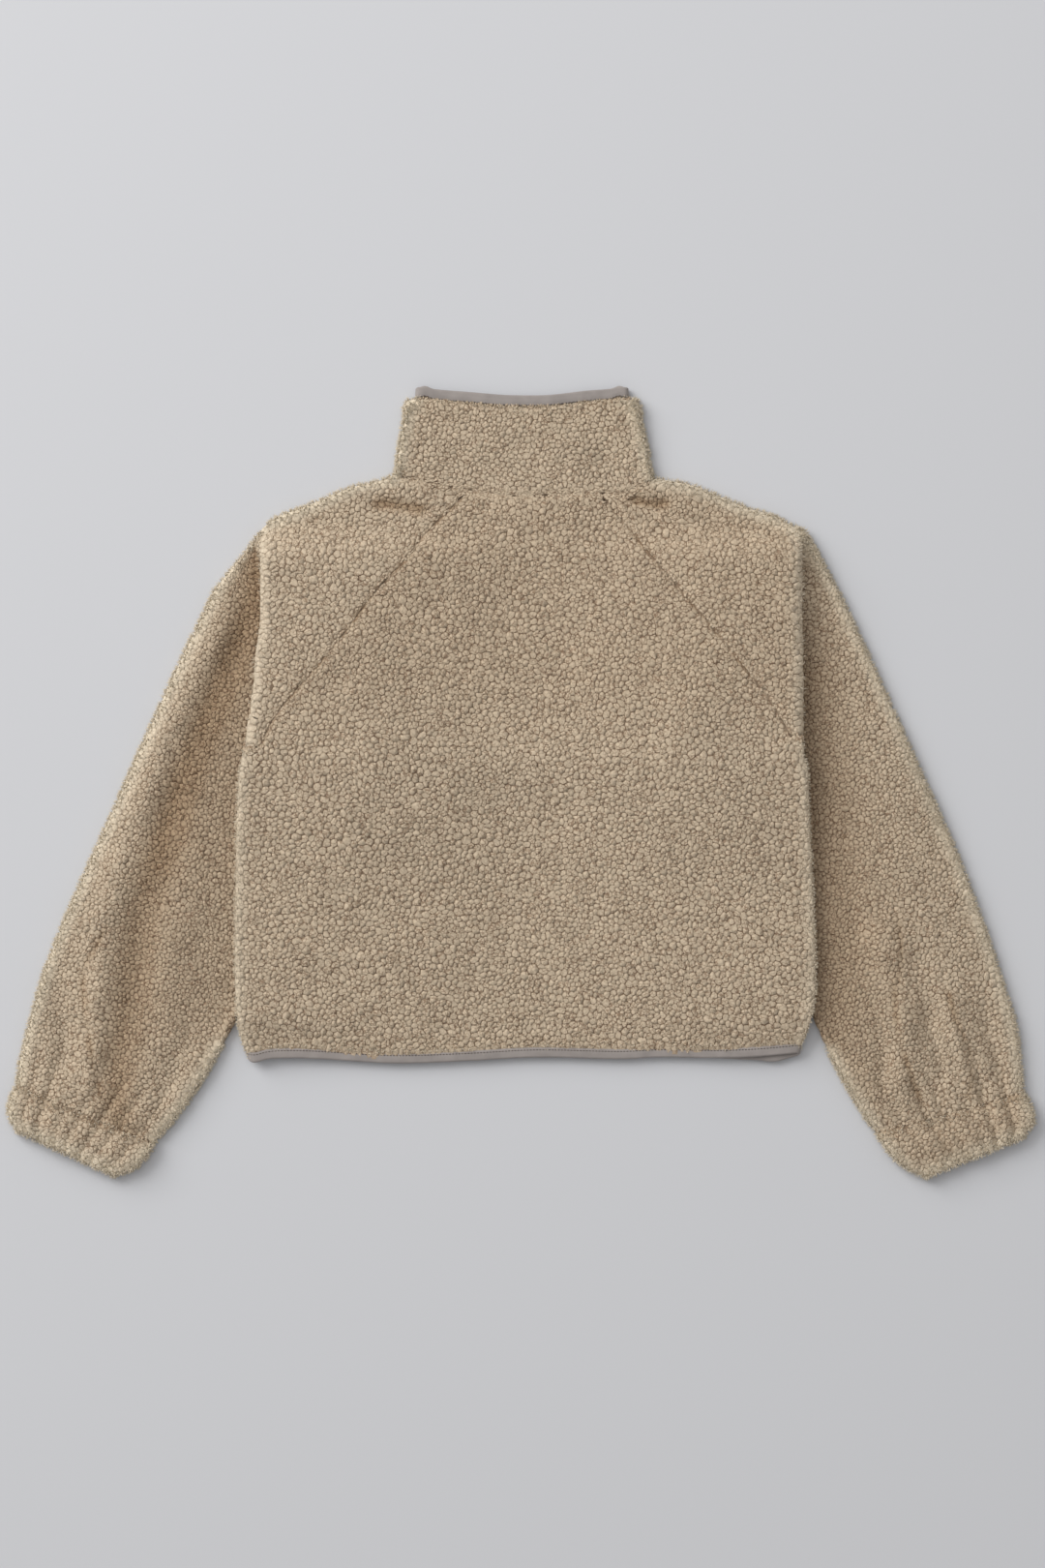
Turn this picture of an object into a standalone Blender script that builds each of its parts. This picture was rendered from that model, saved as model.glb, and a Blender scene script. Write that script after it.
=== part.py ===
"""A plush cropped cardigan with raglan sleeves, laid flat on its front.

The back is up, +Y is the collar end, Z = 0 is the surface it lies on and the origin
is under the middle of its outline. Each cut piece is one wall of cloth: a grid of points
through sections worked out from the sizes below, with a point moved half the wall's
thickness to each side. Two layers that lie on each other share one middle surface.
Sizes are in millimetres here and become metres when a mesh is made. Left is -X.
"""

import math

import bpy
import numpy as np

# ---- cloth -------------------------------------------------------------------------
WALL = 4.0  # knitted backing with its pile pressed down
SLACK = 0.6  # between two layers that lie on each other
SEAM = 0.3  # between two pieces that are sewn together
LAYER = (WALL + SLACK) / 2  # middle of two layers to the middle of one of them
HALF = WALL + SLACK / 2  # middle of two layers to their outer side
LIP = 1.6  # cloth where the tape presses it
TAPE = 0.8  # thickness of the binding tape
TAPE_LEG = 7.3  # how far the tape reaches up each side of an edge

# ---- the pleat at each shoulder -----------------------------------------------------
TURN = 5.0  # radius of the pleat's two turns, at the middle of the two layers
OPENING = 40.0  # length over which the pleat grows from nothing at the shoulder
RISE = 4 * TURN  # how far the pleat lifts the cloth that lies on it
SLEEVE_RISE = 2 * TURN  # how far the sleeve alone lifts the body
HEM_LIFT = 3.0  # how far the hem's two ends stay off the surface
DRAPE = 95.0  # width of the slope down to the surface beside what lies below
PLEAT_DEPTH = {"left": 91.0, "right": 89.0}  # body edge to the hidden fold, at the armpit
PLEAT_TOP = {"left": 241.0, "right": 243.0}  # height on the drawing where the pleat begins
ARMPIT = {"left": 35.0, "right": 45.0}  # lower end of the shoulder part
FOLD_END = {"left": 27.0, "right": 30.0}  # lower end of the hidden fold

# ---- the front, which nothing shows -------------------------------------------------
FRONT_GAP = 1.0  # between the two fronts
FRONT_DROP = 30.0  # how much lower the neck is in front
CENTRE = 2.5  # x of the centre front

PUFF = 2.6  # room between a sleeve's two layers, at most

# Visible edge of the body, from the shoulder corner down to the hem.
BODY_EDGE = {
    "y": (245, 223, 151, 120, 84, 56, 30, 12, -33, -83, -134, -176, -209, -227, -246, -262),
    "left": (-242, -242, -242, -246, -249, -253, -257, -261, -264, -265, -266, -266, -265, -263, -259, -253),
    "right": (261, 261, 261, 262, 262, 262, 262, 266, 268, 271, 273, 274, 272, 268, 262, 260),
}
# Back raglan seam, from the neck to the armpit.
RAGLAN_LEFT = {"y": (272, 254, 237, 205, 174, 142, 106, 70, 46, 35), "x": (-49, -66, -84, -109, -138, -161, -190, -221, -236, -241)}
RAGLAN_RIGHT = {"y": (271, 250, 237, 205, 174, 142, 106, 70, 56, 45), "x": (69, 89, 100, 125, 152, 179, 207, 234, 242, 248)}
# Outer edge of the garment from the collar along the shoulder and down the sleeve.
OUTLINE_LEFT = {"x": (-117, -154, -196, -242, -256, -270), "y": (286, 277, 259, 239, 223, 205)}
OUTLINE_RIGHT = {"x": (123, 160, 202, 249, 261, 281), "y": (285, 277, 259, 242, 232, 205)}
# Sections across each sleeve below its pleat, as seen: outer edge, inner edge, and how
# full the section is.
SLEEVE_LEFT = {
    "outer_x": (-285, -325, -365, -404, -440, -458, -468, -470),
    "outer_y": (180, 98, 9, -78, -164, -222, -265, -281),
    "inner_x": (-174, -190, -210, -231, -255, -279, -311, -341),
    "inner_y": (4, -37, -89, -141, -200, -248, -299, -336),
}
SLEEVE_RIGHT = {
    "outer_x": (297, 333, 373, 411, 442, 460, 466, 468),
    "outer_y": (176, 98, 9, -78, -164, -222, -262, -288),
    "inner_x": (182, 199, 219, 240, 263, 287, 312, 330),
    "inner_y": (5, -37, -89, -141, -200, -253, -299, -326),
}
# Sections across each cuff, from the gathers to its end.
CUFF_LEFT = {"outer_x": (-470.5, -476, -477, -472), "outer_y": (-283, -298, -310, -321), "inner_x": (-342, -351, -361, -370), "inner_y": (-338, -351, -361, -368)}
CUFF_RIGHT = {"outer_x": (468.5, 475, 477, 471), "outer_y": (-290, -304, -316, -327), "inner_x": (331, 342, 354, 368), "inner_y": (-328, -343, -357, -369)}
CUFF_HEIGHT = (11.0, 13.6, 13.2, 10.4)  # over all, at the same four sections
# Soft folds that run down the sleeves: where each starts and ends, its width and height.
FOLDS = (
    {"x0": -384, "y0": -120, "x1": -395, "y1": -270, "width": 15, "height": 1.0},
    {"x0": -452, "y0": -150, "x1": -436, "y1": -275, "width": 16, "height": 0.8},
    {"x0": 342, "y0": -134, "x1": 360, "y1": -270, "width": 16, "height": 1.0},
    {"x0": 402, "y0": -200, "x1": 419, "y1": -280, "width": 15, "height": 0.9},
)
# Collar: the seam that joins it to the neck, its top edge, and its two folded sides.
COLLAR_SEAM = {"x": (-118, -73, -4, 47, 117, 123), "y": (286.5, 275.5, 266.5, 268, 278.5, 285)}
COLLAR_TOP = {"x": (-106, -98, -56, -4, 25, 64, 100, 108), "y": (357.5, 357.5, 354, 349.5, 350, 355, 357.5, 357)}
COLLAR_SIDE = {"v": (0.0, 0.35, 0.7, 0.9, 1.0), "left": (-117, -114, -109, -105, -101), "right": (123, 118, 112, 108, 103)}
# Lower edge of the plush above the hem tape, and how far the front hangs below the back.
HEM = {"x": (-253, -217, -111, -53, 19, 93, 129, 185, 221, 260), "y": (-250, -248, -253, -251, -247.5, -249, -247.5, -248, -246.5, -243), "front": (0, 0, 0, 0, 0, 0, 0, 0.5, 3, 3)}

SIDES = {"left": -1.0, "right": 1.0}
OUTLINE_MIDDLE = np.array((-0.034, -1.431, 0.0))  # middle of the tables' outline, put over the origin
PLUSH = (0.50, 0.415, 0.31)
TAPE_GREY = (0.27, 0.245, 0.232)


# ---- rules ---------------------------------------------------------------------------
def along(table, column, at, key="y"):
    """Value of a table's column at a place between its rows, on a smooth curve."""
    xs, ys = np.array(table[key], float), np.array(table[column], float)
    if xs[0] > xs[-1]:
        xs, ys = xs[::-1], ys[::-1]
    at = np.clip(np.asarray(at, float), xs[0], xs[-1])
    step = np.diff(ys) / np.diff(xs)
    slope = np.concatenate([step[:1], (step[1:] + step[:-1]) / 2, step[-1:]])
    flat = np.concatenate([[False], step[1:] * step[:-1] <= 0, [False]])
    slope[flat] = 0.0
    i = np.clip(np.searchsorted(xs, at) - 1, 0, len(xs) - 2)
    h = xs[i + 1] - xs[i]
    t = (at - xs[i]) / h
    return (
        (1 + 2 * t) * (1 - t) ** 2 * ys[i]
        + t * (1 - t) ** 2 * h * slope[i]
        + t * t * (3 - 2 * t) * ys[i + 1]
        + t * t * (t - 1) * h * slope[i + 1]
    )


def ease(t):
    t = np.clip(t, 0.0, 1.0)
    return t * t * (3 - 2 * t)


def edge(side, y):
    return along(BODY_EDGE, side, y)


def pleat(side, y):
    """The pleat's section at a height y: angle of its turns, their radius, and the straight between them."""
    s = PLEAT_TOP[side] - y
    q = np.clip(s / OPENING, 0.02, 1.0)
    angle = math.pi * q**1.3
    rise = RISE * ease(q)
    radius = np.maximum(rise / (2 * (1 - np.cos(angle))), TURN)
    full = PLEAT_TOP[side] - OPENING
    deepest = PLEAT_DEPTH[side] - 2 * (TURN + HALF)
    straight = deepest * np.clip((full - y) / (full - FOLD_END[side]), 0.0, 1.1)
    return angle, radius, straight


def lift(x, y):
    """How far what lies below raises the middle of the body's two layers."""
    total = 0.0
    for side, sign in SIDES.items():
        y_here = np.clip(y, -270, 290)
        inward = (edge(side, y_here) - x) * sign
        angle, radius, straight = pleat(side, y_here)
        top = 2 * radius * (1 - np.cos(angle)) * (y_here < PLEAT_TOP[side])
        below = FOLD_END[side] - HALF - y_here
        height = top - (RISE - SLEEVE_RISE) * ease(below / 46.0)
        near_hem = ease((-y_here - 217.0) / 17.0)
        height = height + (HEM_LIFT - height) * near_hem
        hidden = straight + 2 * (TURN + HALF)
        table = SLEEVE_LEFT if side == "left" else SLEEVE_RIGHT
        inner = (edge(side, y_here) - along(table, "inner_x", y_here, key="inner_y")) * sign
        past = ease((FOLD_END[side] + 6.0 - y_here) / 60.0)
        hidden = hidden * (1 - past) + np.maximum(inner, 0.0) * past
        total = total + height * (1 - ease((inward - hidden - 22.0) / DRAPE))
    return total


def fold_height(x, y):
    """Height of the sleeves' soft folds."""
    total = np.zeros_like(x)
    for row in FOLDS:
        ax, ay, bx, by = row["x0"], row["y0"], row["x1"], row["y1"]
        length = math.hypot(bx - ax, by - ay)
        u = ((x - ax) * (bx - ax) + (y - ay) * (by - ay)) / length**2
        d = ((x - ax) * (by - ay) - (y - ay) * (bx - ax)) / length
        total = total + row["height"] * np.exp(-((d / row["width"]) ** 2)) * ease(1 - abs(2 * u - 1) ** 3)
    return total


def unit(v):
    return v / np.maximum(np.linalg.norm(v, axis=-1, keepdims=True), 1e-9)


def surface(x, y):
    """The middle of the body's two layers over a place on the drawing, and the way up from it."""
    x, y = np.asarray(x, float), np.asarray(y, float)
    e = 0.5
    slope_x = (lift(x + e, y) - lift(x - e, y)) / (2 * e)
    slope_y = (lift(x, y + e) - lift(x, y - e)) / (2 * e)
    up = unit(np.stack([-slope_x, -slope_y, np.ones_like(slope_x)], axis=-1))
    return np.stack([x, y, HALF + lift(x, y)], axis=-1), up


# ---- making a wall of cloth ------------------------------------------------------------
def cloth(name, middle, out, thick, ring, color, roughness, turn_at=None):
    """One wall: middle[row, column] is its middle surface, out the way its outer side faces.
    A ring's columns close on themselves. Each cell is split by one diagonal, the other one
    from column turn_at on, so that layers that lie on each other are faceted alike."""
    rows, columns = middle.shape[:2]
    thick = np.broadcast_to(np.asarray(thick, float).reshape(-1, 1, 1) if np.ndim(thick) == 1 else thick, (rows, columns, 1))
    outer = middle + out * thick / 2
    inner = middle - out * thick / 2
    points = np.concatenate([outer.reshape(-1, 3), inner.reshape(-1, 3)])
    n = rows * columns

    def at(r, c, side):
        return side * n + r * columns + c % columns

    faces = []

    def cell(a, b, c, d, turned=False):
        faces.extend([(a, b, d), (b, c, d)] if turned else [(a, b, c), (a, c, d)])

    spans = columns if ring else columns - 1
    for r in range(rows - 1):
        for c in range(spans):
            turned = turn_at is not None and c >= turn_at
            cell(at(r, c, 0), at(r, c + 1, 0), at(r + 1, c + 1, 0), at(r + 1, c, 0), turned)
            cell(at(r, c + 1, 1), at(r, c, 1), at(r + 1, c, 1), at(r + 1, c + 1, 1), not turned)
    for c in range(spans):
        last = rows - 1
        cell(at(0, c, 0), at(0, c, 1), at(0, c + 1, 1), at(0, c + 1, 0))
        cell(at(last, c, 0), at(last, c + 1, 0), at(last, c + 1, 1), at(last, c, 1))
    if not ring:
        for r in range(rows - 1):
            last = columns - 1
            cell(at(r, 0, 0), at(r + 1, 0, 0), at(r + 1, 0, 1), at(r, 0, 1))
            cell(at(r, last, 0), at(r, last, 1), at(r + 1, last, 1), at(r + 1, last, 0))
    # A closed mesh whose faces look inward has a negative volume: every face is turned round.
    volume = 0.0
    for a, b, c in faces:
        volume += np.dot(points[a], np.cross(points[b], points[c]))
    if volume < 0:
        faces = [face[::-1] for face in faces]
    mesh = bpy.data.meshes.new(name)
    mesh.from_pydata(((points - OUTLINE_MIDDLE) * 0.001).tolist(), [], faces)
    mesh.validate()
    mesh.shade_smooth()
    mesh.set_sharp_from_angle(angle=math.radians(50))
    material = bpy.data.materials.new(name + "_cloth")
    material.use_nodes = True
    shader = material.node_tree.nodes["Principled BSDF"]
    shader.inputs["Base Color"].default_value = (*color, 1.0)
    shader.inputs["Roughness"].default_value = roughness
    shader.inputs["Metallic"].default_value = 0.0
    mesh.materials.append(material)
    piece = bpy.data.objects.new(name, mesh)
    bpy.context.scene.collection.objects.link(piece)
    return piece


# ---- sleeves ----------------------------------------------------------------------------
ACROSS = np.array((0, 0.105, 0.21, 0.33, 0.46, 0.60, 0.74, 0.86, 0.94, 1.0))  # places from outer to inner edge
NECK_SHARE = 0.21  # part of a sleeve's first section that lies along the neck
FAN = (0.0, 0.2, 0.45, 0.72, 1.0)  # sections over the shoulder part
ARC = (0.33, 0.67, 1.0)  # steps round each turn of the pleat
CAP = tuple(math.radians(a) for a in (36, -36))  # steps round a tube's folded edge


def first_section(side, front):
    """Seam line of a sleeve: along the neck and then down the raglan seam."""
    sign = SIDES[side]
    raglan = RAGLAN_LEFT if side == "left" else RAGLAN_RIGHT
    top_x, top_y = raglan["x"][0], raglan["y"][0]
    gap = SEAM / 2 + 0.05
    start = along(COLLAR_SIDE, side, 0.0, key="v") - sign * HALF
    section = []
    for w in ACROSS:
        if w <= NECK_SHARE + 1e-9:
            x = start + (top_x - start) * w / NECK_SHARE
            y = along(COLLAR_SEAM, "y", x, key="x") - gap
        else:
            u = ((w - NECK_SHARE) / (1 - NECK_SHARE)) ** 0.95
            y = top_y + (ARMPIT[side] - top_y) * u
            x = along(raglan, "x", y) + sign * gap
        section.append((x, y - (front_drop(x) * ease(1 - max(w - NECK_SHARE, 0.0) / 0.55) if front else 0.0)))
    return np.array(section)


def front_drop(x):
    """How far the front's neck edge lies below the back's, at x."""
    return FRONT_DROP * np.clip(1 - ((x - CENTRE) / 115.6) ** 2, 0.0, 1.0)


def sleeve(side):
    sign = SIDES[side]
    table = SLEEVE_LEFT if side == "left" else SLEEVE_RIGHT
    outline = OUTLINE_LEFT if side == "left" else OUTLINE_RIGHT
    middles, ups = [], []
    inset = TURN + HALF

    # The pleat's first turn starts on this line, beside the body edge.
    def out_y(inward):
        x = edge(side, 236.0) - sign * inward
        return along(outline, "y", x * 1.0, key="x") - HALF - 1.2

    y_start = out_y(inset)
    y_line = y_start + (ARMPIT[side] - y_start) * ACROSS
    line = np.stack([edge(side, y_line) - sign * inset, y_line], axis=1)

    # Shoulder part: a patch between the seam line, the pleat, the top edge and the armpit.
    seam_back = first_section(side, False)
    seam_front = first_section(side, True)
    fan, drop = [], []
    x_a, x_b = seam_back[0, 0], line[0, 0]
    for t in FAN:
        x_top = x_a + (x_b - x_a) * t
        top = np.array((x_top, along(outline, "y", x_top, key="x") - HALF / math.cos(0.42)))
        if t == 0.0:
            top = seam_back[0]
        if t == 1.0:
            top = line[0]
        end = seam_back[-1] + (line[-1] - seam_back[-1]) * t
        w = ACROSS[:, None]
        patch = (
            (1 - t) * seam_back + t * line + (1 - w) * top + w * end
            - (1 - w) * ((1 - t) * seam_back[0] + t * line[0])
            - w * ((1 - t) * seam_back[-1] + t * line[-1])
        )
        fan.append(patch)
        drop.append((seam_front - seam_back) * (1 - ease(t / 0.8)))
    fan = np.array(fan)
    fan, up = surface(fan[..., 0], fan[..., 1])
    middles.extend(fan)
    ups.extend(up)

    # The pleat: out round the first turn, back to the hidden fold, and out again.
    def turned(part, fraction):
        rows, normals = [], []
        for w in ACROSS:
            y_top = out_y(inset - 0.9 * (part + fraction))
            low = ARMPIT[side] if part < 1 else FOLD_END[side]
            if part == 1:
                low = ARMPIT[side] + (FOLD_END[side] - ARMPIT[side]) * fraction
            y = y_top + (low - y_top) * w
            angle, radius, straight = pleat(side, y)
            rise = 2 * radius * (1 - math.cos(angle)) + straight * math.sin(angle)
            u, height = -inset, HALF + rise
            if part == 0:
                a = angle * fraction
                u += radius * math.sin(a)
                height -= radius * (1 - math.cos(a))
            else:
                u += radius * math.sin(angle)
                height -= radius * (1 - math.cos(angle))
                a = angle
                share = fraction if part == 1 else 1.0
                u += straight * share * math.cos(angle)
                height -= straight * share * math.sin(angle)
                if part == 2:
                    a = angle * (1 - fraction)
                    u += radius * (math.sin(angle) - math.sin(a))
                    height -= radius * (math.cos(a) - math.cos(angle))
            rows.append((edge(side, y) + sign * u, y, height))
            normals.append((sign * math.sin(a), 0.0, math.cos(a)))
        return np.array(rows), np.array(normals)

    for part, fractions in ((0, ARC), (1, (1.0,)), (2, ARC)):
        for fraction in fractions:
            row, normal = turned(part, fraction)
            middles.append(row)
            ups.append(normal)

    # The sleeve itself, from the hidden fold to the gathers of its cuff.
    for i in range(len(table["outer_x"])):
        outer = np.array((table["outer_x"][i], table["outer_y"][i]), float)
        inner = np.array((table["inner_x"][i], table["inner_y"][i]), float)
        run = unit(inner - outer)
        a, b = outer + run * (HALF + 0.4), inner - run * (HALF + 0.4)
        flat = a + (b - a) * ACROSS[:, None]
        middles.append(np.concatenate([flat, np.full((len(flat), 1), HALF)], axis=1))
        ups.append(np.tile((0.0, 0.0, 1.0), (len(flat), 1)))

    middle, up = np.array(middles), np.array(ups)
    first = len(middle) - len(table["outer_x"])
    # Room between the two layers, where nothing lies on the sleeve.
    body_reach = (middle[..., 0] - edge(side, middle[..., 1])) * sign
    full = PUFF * ease((body_reach - 12) / 55.0) * np.sqrt(np.clip(4 * ACROSS * (1 - ACROSS), 0, 1))
    full = full + fold_height(middle[..., 0], middle[..., 1]) * ease((body_reach - 12) / 55.0) * (full > 0)
    full[:first] = 0.0
    middle[..., 2] += full / 2
    reach = LAYER + full / 2

    rings, outs = [], []
    for r in range(len(middle)):
        m, n, d = middle[r], up[r], reach[r][:, None]
        tangent = unit(np.gradient(m, axis=0))
        if r == 0:
            tangent[0] = (-sign, 0.0, 0.0)
        top = m + n * d
        under = m - n * d
        if r < len(FAN):
            lower, lower_up = surface(m[:, 0] + drop[r][:, 0], m[:, 1] + drop[r][:, 1])
            under = lower - lower_up * d
        ring, face = list(top), list(n)
        for a in CAP:
            way = math.cos(a) * tangent[-1] + math.sin(a) * n[-1]
            ring.append(m[-1] + way * d[-1])
            face.append(way)
        ring += list(under[::-1])
        face += list(-n[::-1])
        for a in CAP[::-1]:
            way = -math.cos(a) * tangent[0] + math.sin(a) * n[0]
            ring.append(m[0] + way * d[0])
            face.append(way)
        rings.append(ring)
        outs.append(face)
    cloth("sleeve_" + side, np.array(rings), np.array(outs), WALL, True, PLUSH, 0.95)


def cuff(side):
    table = CUFF_LEFT if side == "left" else CUFF_RIGHT
    rings, outs = [], []
    places = np.linspace(0, 1, 8)
    start = SEAM
    for i, tall in enumerate(CUFF_HEIGHT):
        outer = np.array((table["outer_x"][i], table["outer_y"][i]), float)
        inner = np.array((table["inner_x"][i], table["inner_y"][i]), float)
        run = unit(inner - outer)
        down = np.array((run[1], -run[0])) * (1 if side == "left" else -1)
        half, d = tall / 2, (tall - WALL) / 2
        a, b = outer + run * half, inner - run * half
        flat = a + (b - a) * places[:, None] + down * start
        m = np.concatenate([flat, np.full((len(flat), 1), half)], axis=1)
        n = np.array((0.0, 0.0, 1.0))
        # Gathers: the section swells between the elastic's pulls.
        swell = 1 + 0.10 * np.cos(places * math.tau * 3.5)
        ring = [p + n * d * min(s, 1.0) for p, s in zip(m, swell)]
        face = [n] * len(m)
        way3 = np.array((*run, 0.0))
        for c in CAP:
            way = math.cos(c) * way3 + math.sin(c) * n
            ring.append(m[-1] + way * d)
            face.append(way)
        ring += [p - n * d for p in m[::-1]]
        face += [-n] * len(m)
        for c in CAP[::-1]:
            way = -math.cos(c) * way3 + math.sin(c) * n
            ring.append(m[0] + way * d)
            face.append(way)
        rings.append(ring)
        outs.append(face)
    cloth("cuff_" + side, np.array(rings), np.array(outs), WALL, True, PLUSH, 0.95)


# ---- body ---------------------------------------------------------------------------------
LIP_END = -6.6  # lower end of the cloth inside the tape, below the plush edge
HEM_ROWS = ((LIP_END, LIP), (0.9, LIP), (1.9, WALL))  # height above the hem edge, and thickness
LEVELS = (-240, -208, -150, -85, -20)  # rows up to just below the armpits
ACROSS_BODY = (0.0, 0.15, 0.33, 0.46, 0.60, 0.78, 1.0)  # places from a side to the centre
SEAM_BACK_OFF = SEAM / 2 + 0.35


def hem_y(x, front):
    y = along(HEM, "y", x, key="x")
    return y - (along(HEM, "front", x, key="x") if front else 0.0)


def neck_row_x(side):
    """Places along the neck from one side of the back to the centre."""
    x = (RAGLAN_LEFT if side == "left" else RAGLAN_RIGHT)["x"][0] - SIDES[side] * SEAM_BACK_OFF
    return x + (CENTRE - x) * np.array(ACROSS_BODY)


def panel(name, sides, front):
    """The back, or one front, in rows from the hem up. Each row runs from a side to the centre,
    and for the back on to the other side. Returns its lowest row, which the hem tape covers."""
    facing = -1.0 if front else 1.0

    # Each row: its height at either side, where it ends there, and whether it ends in a fold.
    heights = []
    for value, thick in HEM_ROWS:
        heights.append(("hem", value, thick))
    for y in LEVELS:
        heights.append(("fold", {s: y for s in SIDES}, WALL))
    shelf = {s: ARMPIT[s] - HALF - 1.6 for s in SIDES}
    heights.append(("fold", {s: shelf[s] - 10.0 for s in SIDES}, WALL))
    heights.append(("fold", {s: shelf[s] - 0.6 for s in SIDES}, WALL))
    heights.append(("notch", {s: shelf[s] + 0.4 for s in SIDES}, WALL))
    seams = {s: first_section(s, front) for s in SIDES}
    for k in range(len(ACROSS) - 1, -1, -1):
        if ACROSS[k] > NECK_SHARE + 1e-9:
            heights.append(("seam", k, WALL))
    heights.append(("neck", int(np.argmin(abs(ACROSS - NECK_SHARE))), WALL))

    rows, outs, thick = [], [], []
    for kind, value, wall in heights:
        halves = {}
        for s in SIDES:
            sign = SIDES[s]
            if kind == "hem":
                end_y = hem_y(sign * 255.0, front) + value
                end = edge(s, end_y)
            elif kind == "fold":
                end_y = value[s]
                end = edge(s, end_y)
            elif kind == "notch":
                end_y = value[s]
                end = seams[s][-1][0] + sign * (1.0 - SEAM_BACK_OFF * 2)
            else:
                end, end_y = seams[s][value]
                end = end - sign * (SEAM_BACK_OFF + SEAM / 2 + 0.05)
            halves[s] = (end, end_y)
        low, high = halves["left"], halves["right"]

        def row_y(x):
            if kind == "hem":
                return hem_y(x, front) + value
            if kind == "neck":
                return along(COLLAR_SEAM, "y", x, key="x") - SEAM / 2 - 0.05 - (front_drop(x) if front else 0.0)
            y = low[1] + (high[1] - low[1]) * (x - low[0]) / (high[0] - low[0])
            near_hem = ease((-y - 185.0) / 45.0)
            return y + (hem_y(x, False) + 249.0) * near_hem

        points, ways = {}, {}
        for s in sides:
            sign = SIDES[s]
            end = halves[s][0]
            points[s], ways[s] = [], []
            folded = kind in ("hem", "fold")
            first = end - sign * HALF if folded else (end - sign * 6.0 if kind != "neck" else None)
            if folded:
                mid, n = surface(first, row_y(first))
                out_way = unit(np.array((sign, 0.0, 0.0)) - n * n[0] * sign)
                for a in (8.0, 48.0):
                    a = math.radians(a)
                    way = math.cos(a) * out_way + math.sin(a) * facing * n
                    points[s].append(mid + way * LAYER)
                    ways[s].append(way)
            if kind == "neck":
                xs = neck_row_x(s)
                extra = [xs[0], xs[0] + (xs[1] - xs[0]) * 0.4]
                xs = np.concatenate([extra, [xs[0] + (xs[1] - xs[0]) * 0.7], xs[1:]])
            else:
                extra = [] if folded else [end, end - sign * 3.0]
                close = CENTRE if len(sides) == 2 else CENTRE + sign * FRONT_GAP / 2
                xs = np.concatenate([extra, first + (close - first) * np.array(ACROSS_BODY)])
            if kind == "neck" and len(sides) == 1:
                xs[-1] = CENTRE + sign * FRONT_GAP / 2
            for x in xs:
                mid, n = surface(x, row_y(x))
                points[s].append(mid + facing * n * LAYER)
                ways[s].append(facing * n)
        if len(sides) == 2:
            rows.append(points["left"] + points["right"][-2::-1])
            outs.append(ways["left"] + ways["right"][-2::-1])
        else:
            rows.append(points[sides[0]])
            outs.append(ways[sides[0]])
        thick.append(wall)
    middle_column = len(points["left"]) - 1 if len(sides) == 2 else None
    cloth(name, np.array(rows), np.array(outs), np.array(thick), False, PLUSH, 0.95, middle_column)
    return np.array(rows[:2]), np.array(outs[0])


# ---- collar -----------------------------------------------------------------------------------
COLLAR_ROWS = ((0.0, 0.0, WALL), (0.35, 0.0, WALL), (0.7, 0.0, WALL), (1.0, -1.9, WALL), (1.0, -0.9, LIP), (1.0, 6.6, LIP))  # share of its height, more, thickness


def collar():
    """A flattened ring, open at the centre front: from there under to the left fold, over the
    back, and under again. Its lowest row has the neck's own points. Returns its highest row."""
    neck = {}
    for side, sign in SIDES.items():
        sewn = first_section(side, False)[: int(np.argmin(abs(ACROSS - NECK_SHARE)))]
        neck[side] = np.concatenate([sewn[:, 0], neck_row_x(side)])
    rows, outs, thick = [], [], []
    for share, more, wall in COLLAR_ROWS:
        points, ways = [], []
        fold = {s: along(COLLAR_SIDE, s, share, key="v") - SIDES[s] * HALF for s in SIDES}
        base = {s: along(COLLAR_SIDE, s, 0.0, key="v") - SIDES[s] * HALF for s in SIDES}

        def at(x):
            """Where a point of the neck moves to on this row."""
            side = "left" if x < CENTRE else "right"
            return CENTRE + (x - CENTRE) * (fold[side] - CENTRE) / (base[side] - CENTRE)

        def y_of(x_low, x, front):
            low = along(COLLAR_SEAM, "y", x_low, key="x") + SEAM / 2 + 0.05
            high = along(COLLAR_TOP, "y", x, key="x")
            return low + (high - low) * share + more - (front_drop(x_low) if front else 0.0)

        def under(side):
            found = []
            for x_low in neck[side]:
                x = at(x_low)
                if abs(x_low - CENTRE) < 1e-6:
                    x = CENTRE + SIDES[side] * FRONT_GAP / 2
                found.append(((x, y_of(x_low, x, True), HALF - LAYER), (0.0, 0.0, -1.0)))
            return found

        def round_fold(side):
            found = []
            for a in CAP:
                way = np.array((SIDES[side] * math.cos(a), 0.0, math.sin(a)))
                x_low = neck[side][0]
                spot = np.array((fold[side], y_of(x_low, at(x_low), False), HALF)) + way * LAYER
                found.append((spot, way))
            return found

        chain = under("left")[::-1] + round_fold("left")[::-1]
        for x_low in np.concatenate([neck["left"], neck["right"][-2::-1]]):
            x = at(x_low)
            chain.append(((x, y_of(x_low, x, False), HALF + LAYER), (0.0, 0.0, 1.0)))
        chain += round_fold("right") + under("right")
        for point, way in chain:
            points.append(point)
            ways.append(way)
        rows.append(points)
        outs.append(ways)
        thick.append(wall)
    cloth("collar", np.array(rows, float), np.array(outs, float), np.array(thick), False, PLUSH, 0.95)
    return np.array(rows[:-3:-1], float), np.array(outs[-1], float)


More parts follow.
